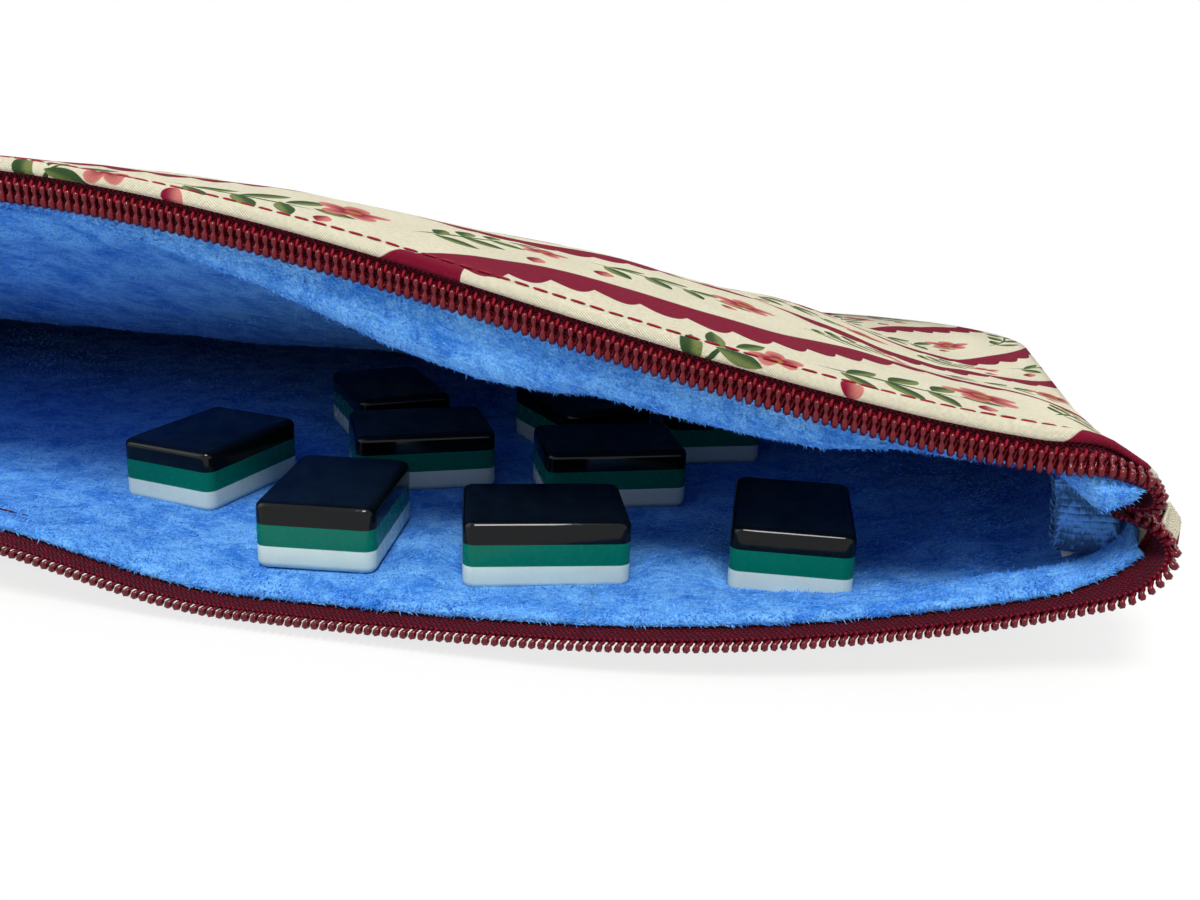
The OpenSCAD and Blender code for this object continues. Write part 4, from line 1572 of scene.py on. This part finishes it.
class CASE_OT_corner_tabs(Builder):
    """Folds the knitted tab in each corner of the mouth."""

    bl_idname = "zip_case.corner_tabs"
    bl_label = "Corner tabs"

    def surface(self, low, high, side):
        """A ribbed strip that hangs down, turns round and comes up again."""
        middle, half = (low + high) / 2, (high - low) / 2
        radius = half[1]
        straight = high[2] - low[2] - radius - TAB_SHORT
        total = 2 * straight + math.pi * radius

        def place(q, t):
            run = t * total
            down = np.clip(run, 0, straight)
            bend = np.clip((run - straight) / radius, 0, math.pi)
            up = np.clip(run - straight - math.pi * radius, 0, straight)
            z = high[2] - down + up - radius * np.sin(bend)
            lowered = (high[2] - z) / (straight + radius)
            lean = TAB_LEAN[0] + (TAB_LEAN[1] - TAB_LEAN[0]) * lowered
            y = middle[1] - radius * np.cos(bend)
            height = (z - low[2]) / (high[2] - low[2])
            foot, narrowing, wavy = TAB_FLARE
            flare = foot - narrowing * smooth(height) + wavy * np.sin(run * 1.3)
            x = middle[0] + half[0] * q * flare
            phase = run * 2 * math.pi / TAB_RIB + 0.8 * np.sin(q * 3)
            rib = TAB_RIB_H * (0.5 + 0.5 * np.cos(phase))
            belly = TAB_BELLY * np.sin(math.pi * np.clip(height, 0, 1)) * (1 - q * q)
            edge = 1 - 0.5 * smooth((np.abs(q) - TAB_EDGE[0]) / TAB_EDGE[1])
            y = y - np.cos(bend) * (rib * edge + belly)
            z = z - np.sin(bend) * rib * edge
            return np.stack([x + side * lean, y, z], -1)

        return place

    def build(self, case, scene):
        look = knit_look()
        for name, side in (("left", -1), ("right", 1)):
            node = f"corner_tab_{name}"
            low, high = (np.array(c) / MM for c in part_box(node))
            half_width = (high[0] - low[0]) / 2
            bm = cloth(self.surface(low, high, side), (-1.0, 1.0), *TAB_GRID, half_width)
            piece = finish_cloth(f"knit_tab_{name}", bm, look, TAB_T, False, (node,))
            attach(piece, "base")


class CASE_OT_tiles(Builder):
    """Builds the nine tiles in their three layers."""

    bl_idname = "zip_case.tiles"
    bl_label = "Tiles"

    def build(self, case, scene):
        sizes = scene.tile_sizes
        looks = {
            "back": tile_look("Tile back", "tile_back", 0.22, 0.1),
            "core": tile_look("Tile core", "tile_core", 0.15, 0.24, 0.1),
            "face": tile_look("Tile face", "tile_face", 0.2, 0.24, 0.2),
        }
        face, back, high = (v / MM for v in (sizes.face_h, sizes.back_h, sizes.tile_h))
        spans = {"face": (-1, face), "core": (face, high - back), "back": (high - back, high + 1)}
        block = tile_block(sizes)
        floor = case.form.panel_t - TILE_DENT - sizes.sink / MM
        for index in range(TILE_COUNT):
            x, y, yaw = tile_spot(case.form, index)
            placed = Matrix.Translation(Vector((x, y, floor))) @ Matrix.Rotation(yaw, 4, "Z")
            for part, (low, top) in spans.items():
                bm = tile_layer(block, low, top)
                bm.transform(Matrix.Scale(MM, 4) @ placed)
                node = f"tile_{index + 1}_{part}"
                piece = new_piece(f"loose_{node}", bm, looks[part], 30)
                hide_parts(node)
                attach(piece, "tiles")
        block.free()


class CASE_OT_hardware(Builder):
    """Finishes the slider, its pull and the bottom stop."""

    bl_idname = "zip_case.hardware"
    bl_label = "Slider and stop"

    def build(self, case, scene):
        metal, woven = metal_look(), tape_look("Woven stop", False)
        looks = {node: metal for node in ("slider_body", "slider_bridge", "slider_pull")}
        for node, look in {**looks, "bottom_stop": woven}.items():
            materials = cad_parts[node].data.materials
            materials.clear()
            materials.append(look)


# ---- stage ----
FLOOR_BELOW = 0.0002
# Distances in metres between which the floor turns to white, and its share of white there
FLOOR_WHITE = (0.24, 0.42, 0.78, 1.0)
WORLD_STRENGTH = 0.38
# Each lamp: its place in metres, watts, size and tint
LAMPS = [
    ("key", (0.25, -0.75, 1.25), 19.0, 0.45, (1.0, 0.98, 0.95)),
    ("fill", (-0.9, -0.5, 0.8), 5.0, 1.0, (0.95, 0.97, 1.0)),
    ("rim", (0.5, 0.9, 1.1), 7.0, 0.9, (1.0, 1.0, 1.0)),
]
LAMPS_AIM = (0.05, 0, 0.03)
# The photo's camera: its place in millimetres, its direction, roll in degrees and lens
CAMERA_AT = (162.5, -304.6, 97.84)
CAMERA_LOOK = (-0.18205, 0.93656, -0.29953)
CAMERA_ROLL = 2.175
PHOTO_W = 1200
FOCAL_PX = 1259.0
SENSOR = 36.0


def show_white(tree, shader, share=None):
    """Mixes plain white, up to a share, into what the camera and gloss see of a shader."""
    path = tree.nodes.new("ShaderNodeLightPath")
    seen = path.outputs["Is Camera Ray"]
    for name in ("Is Glossy Ray", "Is Transmission Ray"):
        seen = joined(tree, "MAXIMUM", seen, path.outputs[name])
    if share is not None:
        seen = joined(tree, "MULTIPLY", seen, share)
    kind = "Background" if shader.type == "BACKGROUND" else "Emission"
    white = tree.nodes.new("ShaderNode" + kind)
    white.inputs["Color"].default_value = (1, 1, 1, 1)
    white.inputs["Strength"].default_value = 1.0
    mixed = tree.nodes.new("ShaderNodeMixShader")
    tree.links.new(seen, mixed.inputs[0])
    tree.links.new(shader.outputs[0], mixed.inputs[1])
    tree.links.new(white.outputs[0], mixed.inputs[2])
    out = next(n for n in tree.nodes if n.type.startswith("OUTPUT"))
    tree.links.new(mixed.outputs[0], out.inputs[0])


def joined(tree, operation, a, b):
    made = tree.nodes.new("ShaderNodeMath")
    made.operation = operation
    tree.links.new(a, made.inputs[0])
    tree.links.new(b, made.inputs[1])
    return made.outputs[0]


class CASE_OT_stage(Builder):
    """Sets the floor, the lights, the world and the camera."""

    bl_idname = "zip_case.stage"
    bl_label = "Stage"

    def floor(self):
        bm = bmesh.new()
        bmesh.ops.create_grid(bm, x_segments=1, y_segments=1, size=6.0)
        bmesh.ops.translate(bm, verts=bm.verts, vec=(0, 0, -FLOOR_BELOW))
        look = Look("Pale floor", 0.9)
        look.set("Base Color", (0.8, 0.8, 0.8))
        source = look.node("ShaderNodeTexCoord").outputs["Object"]
        distance = look.node("ShaderNodeVectorMath", operation="LENGTH")
        look.feed(distance.inputs[0], look.vector("MULTIPLY", source, (1.0, 1.6, 1.0)))
        share = look.spread(distance.outputs["Value"], *FLOOR_WHITE)
        show_white(look.tree, look.shader, share)
        new_piece("floor", bm, look.material)

    def world(self, scene):
        world = bpy.data.worlds.new("Studio")
        scene.world = world
        world.use_nodes = True
        plain = next(n for n in world.node_tree.nodes if n.type == "BACKGROUND")
        plain.inputs["Color"].default_value = (0.93, 0.95, 1.0, 1)
        plain.inputs["Strength"].default_value = WORLD_STRENGTH
        show_white(world.node_tree, plain)

    def lamps(self):
        for name, at, power, size, tint in LAMPS:
            data = bpy.data.lights.new(name, "AREA")
            data.energy = power
            data.size = size
            data.color = tint
            lamp = add_object(name, data)
            lamp.location = at
            way = Vector(LAMPS_AIM) - Vector(at)
            lamp.rotation_euler = way.to_track_quat("-Z", "Y").to_euler()

    def camera(self, scene):
        data = bpy.data.cameras.new("photo_camera")
        data.sensor_fit = "HORIZONTAL"
        data.sensor_width = SENSOR
        data.lens = SENSOR * FOCAL_PX / PHOTO_W
        data.clip_start, data.clip_end = 0.01, 50
        camera = add_object("photo_camera", data)
        look_way = Vector(CAMERA_LOOK).normalized()
        right = look_way.cross(Vector((0, 0, 1))).normalized()
        up = right.cross(look_way)
        roll = math.radians(CAMERA_ROLL)
        x_axis = right * math.cos(roll) + up * math.sin(roll)
        y_axis = up * math.cos(roll) - right * math.sin(roll)
        turned = Matrix((x_axis, y_axis, -look_way)).transposed().to_4x4()
        camera.matrix_world = Matrix.Translation(Vector(CAMERA_AT) * MM) @ turned
        scene.camera = camera

    def build(self, case, scene):
        self.floor()
        self.world(scene)
        self.lamps()
        self.camera(scene)
        scene.view_settings.view_transform = "Standard"


class CASE_PT_sidebar(bpy.types.Panel):
    """Lists the building steps."""

    bl_label = "Zip Case"
    bl_idname = "CASE_PT_sidebar"
    bl_space_type = "VIEW_3D"
    bl_region_type = "UI"
    bl_category = "Zip Case"

    def draw(self, context):
        for step in STEPS:
            self.layout.operator(step.bl_idname)


GROUPS = {
    "case_sizes": CaseSizes,
    "mouth_sizes": MouthSizes,
    "zip_sizes": ZipSizes,
    "tile_sizes": TileSizes,
    "pile_settings": PileSettings,
    "case_colours": CaseColours,
}
STEPS = (
    CASE_OT_stage,
    CASE_OT_canvas,
    CASE_OT_seam,
    CASE_OT_wadding,
    CASE_OT_lower_lining,
    CASE_OT_upper_lining,
    CASE_OT_zip_tapes,
    CASE_OT_zip_coils,
    CASE_OT_stitching,
    CASE_OT_corner_tabs,
    CASE_OT_tiles,
    CASE_OT_hardware,
)


def register():
    for group in GROUPS.values():
        bpy.utils.register_class(group)
    for name, group in GROUPS.items():
        setattr(bpy.types.Scene, name, PointerProperty(type=group))
    for step in (*STEPS, CASE_PT_sidebar):
        bpy.utils.register_class(step)


def unregister():
    for step in reversed((*STEPS, CASE_PT_sidebar)):
        bpy.utils.unregister_class(step)
    for name in GROUPS:
        delattr(bpy.types.Scene, name)
    for group in reversed(list(GROUPS.values())):
        bpy.utils.unregister_class(group)


def main():
    register()
    for step in STEPS:
        family, name = step.bl_idname.split(".")
        getattr(getattr(bpy.ops, family), name)()


if __name__ == "__main__":
    main()
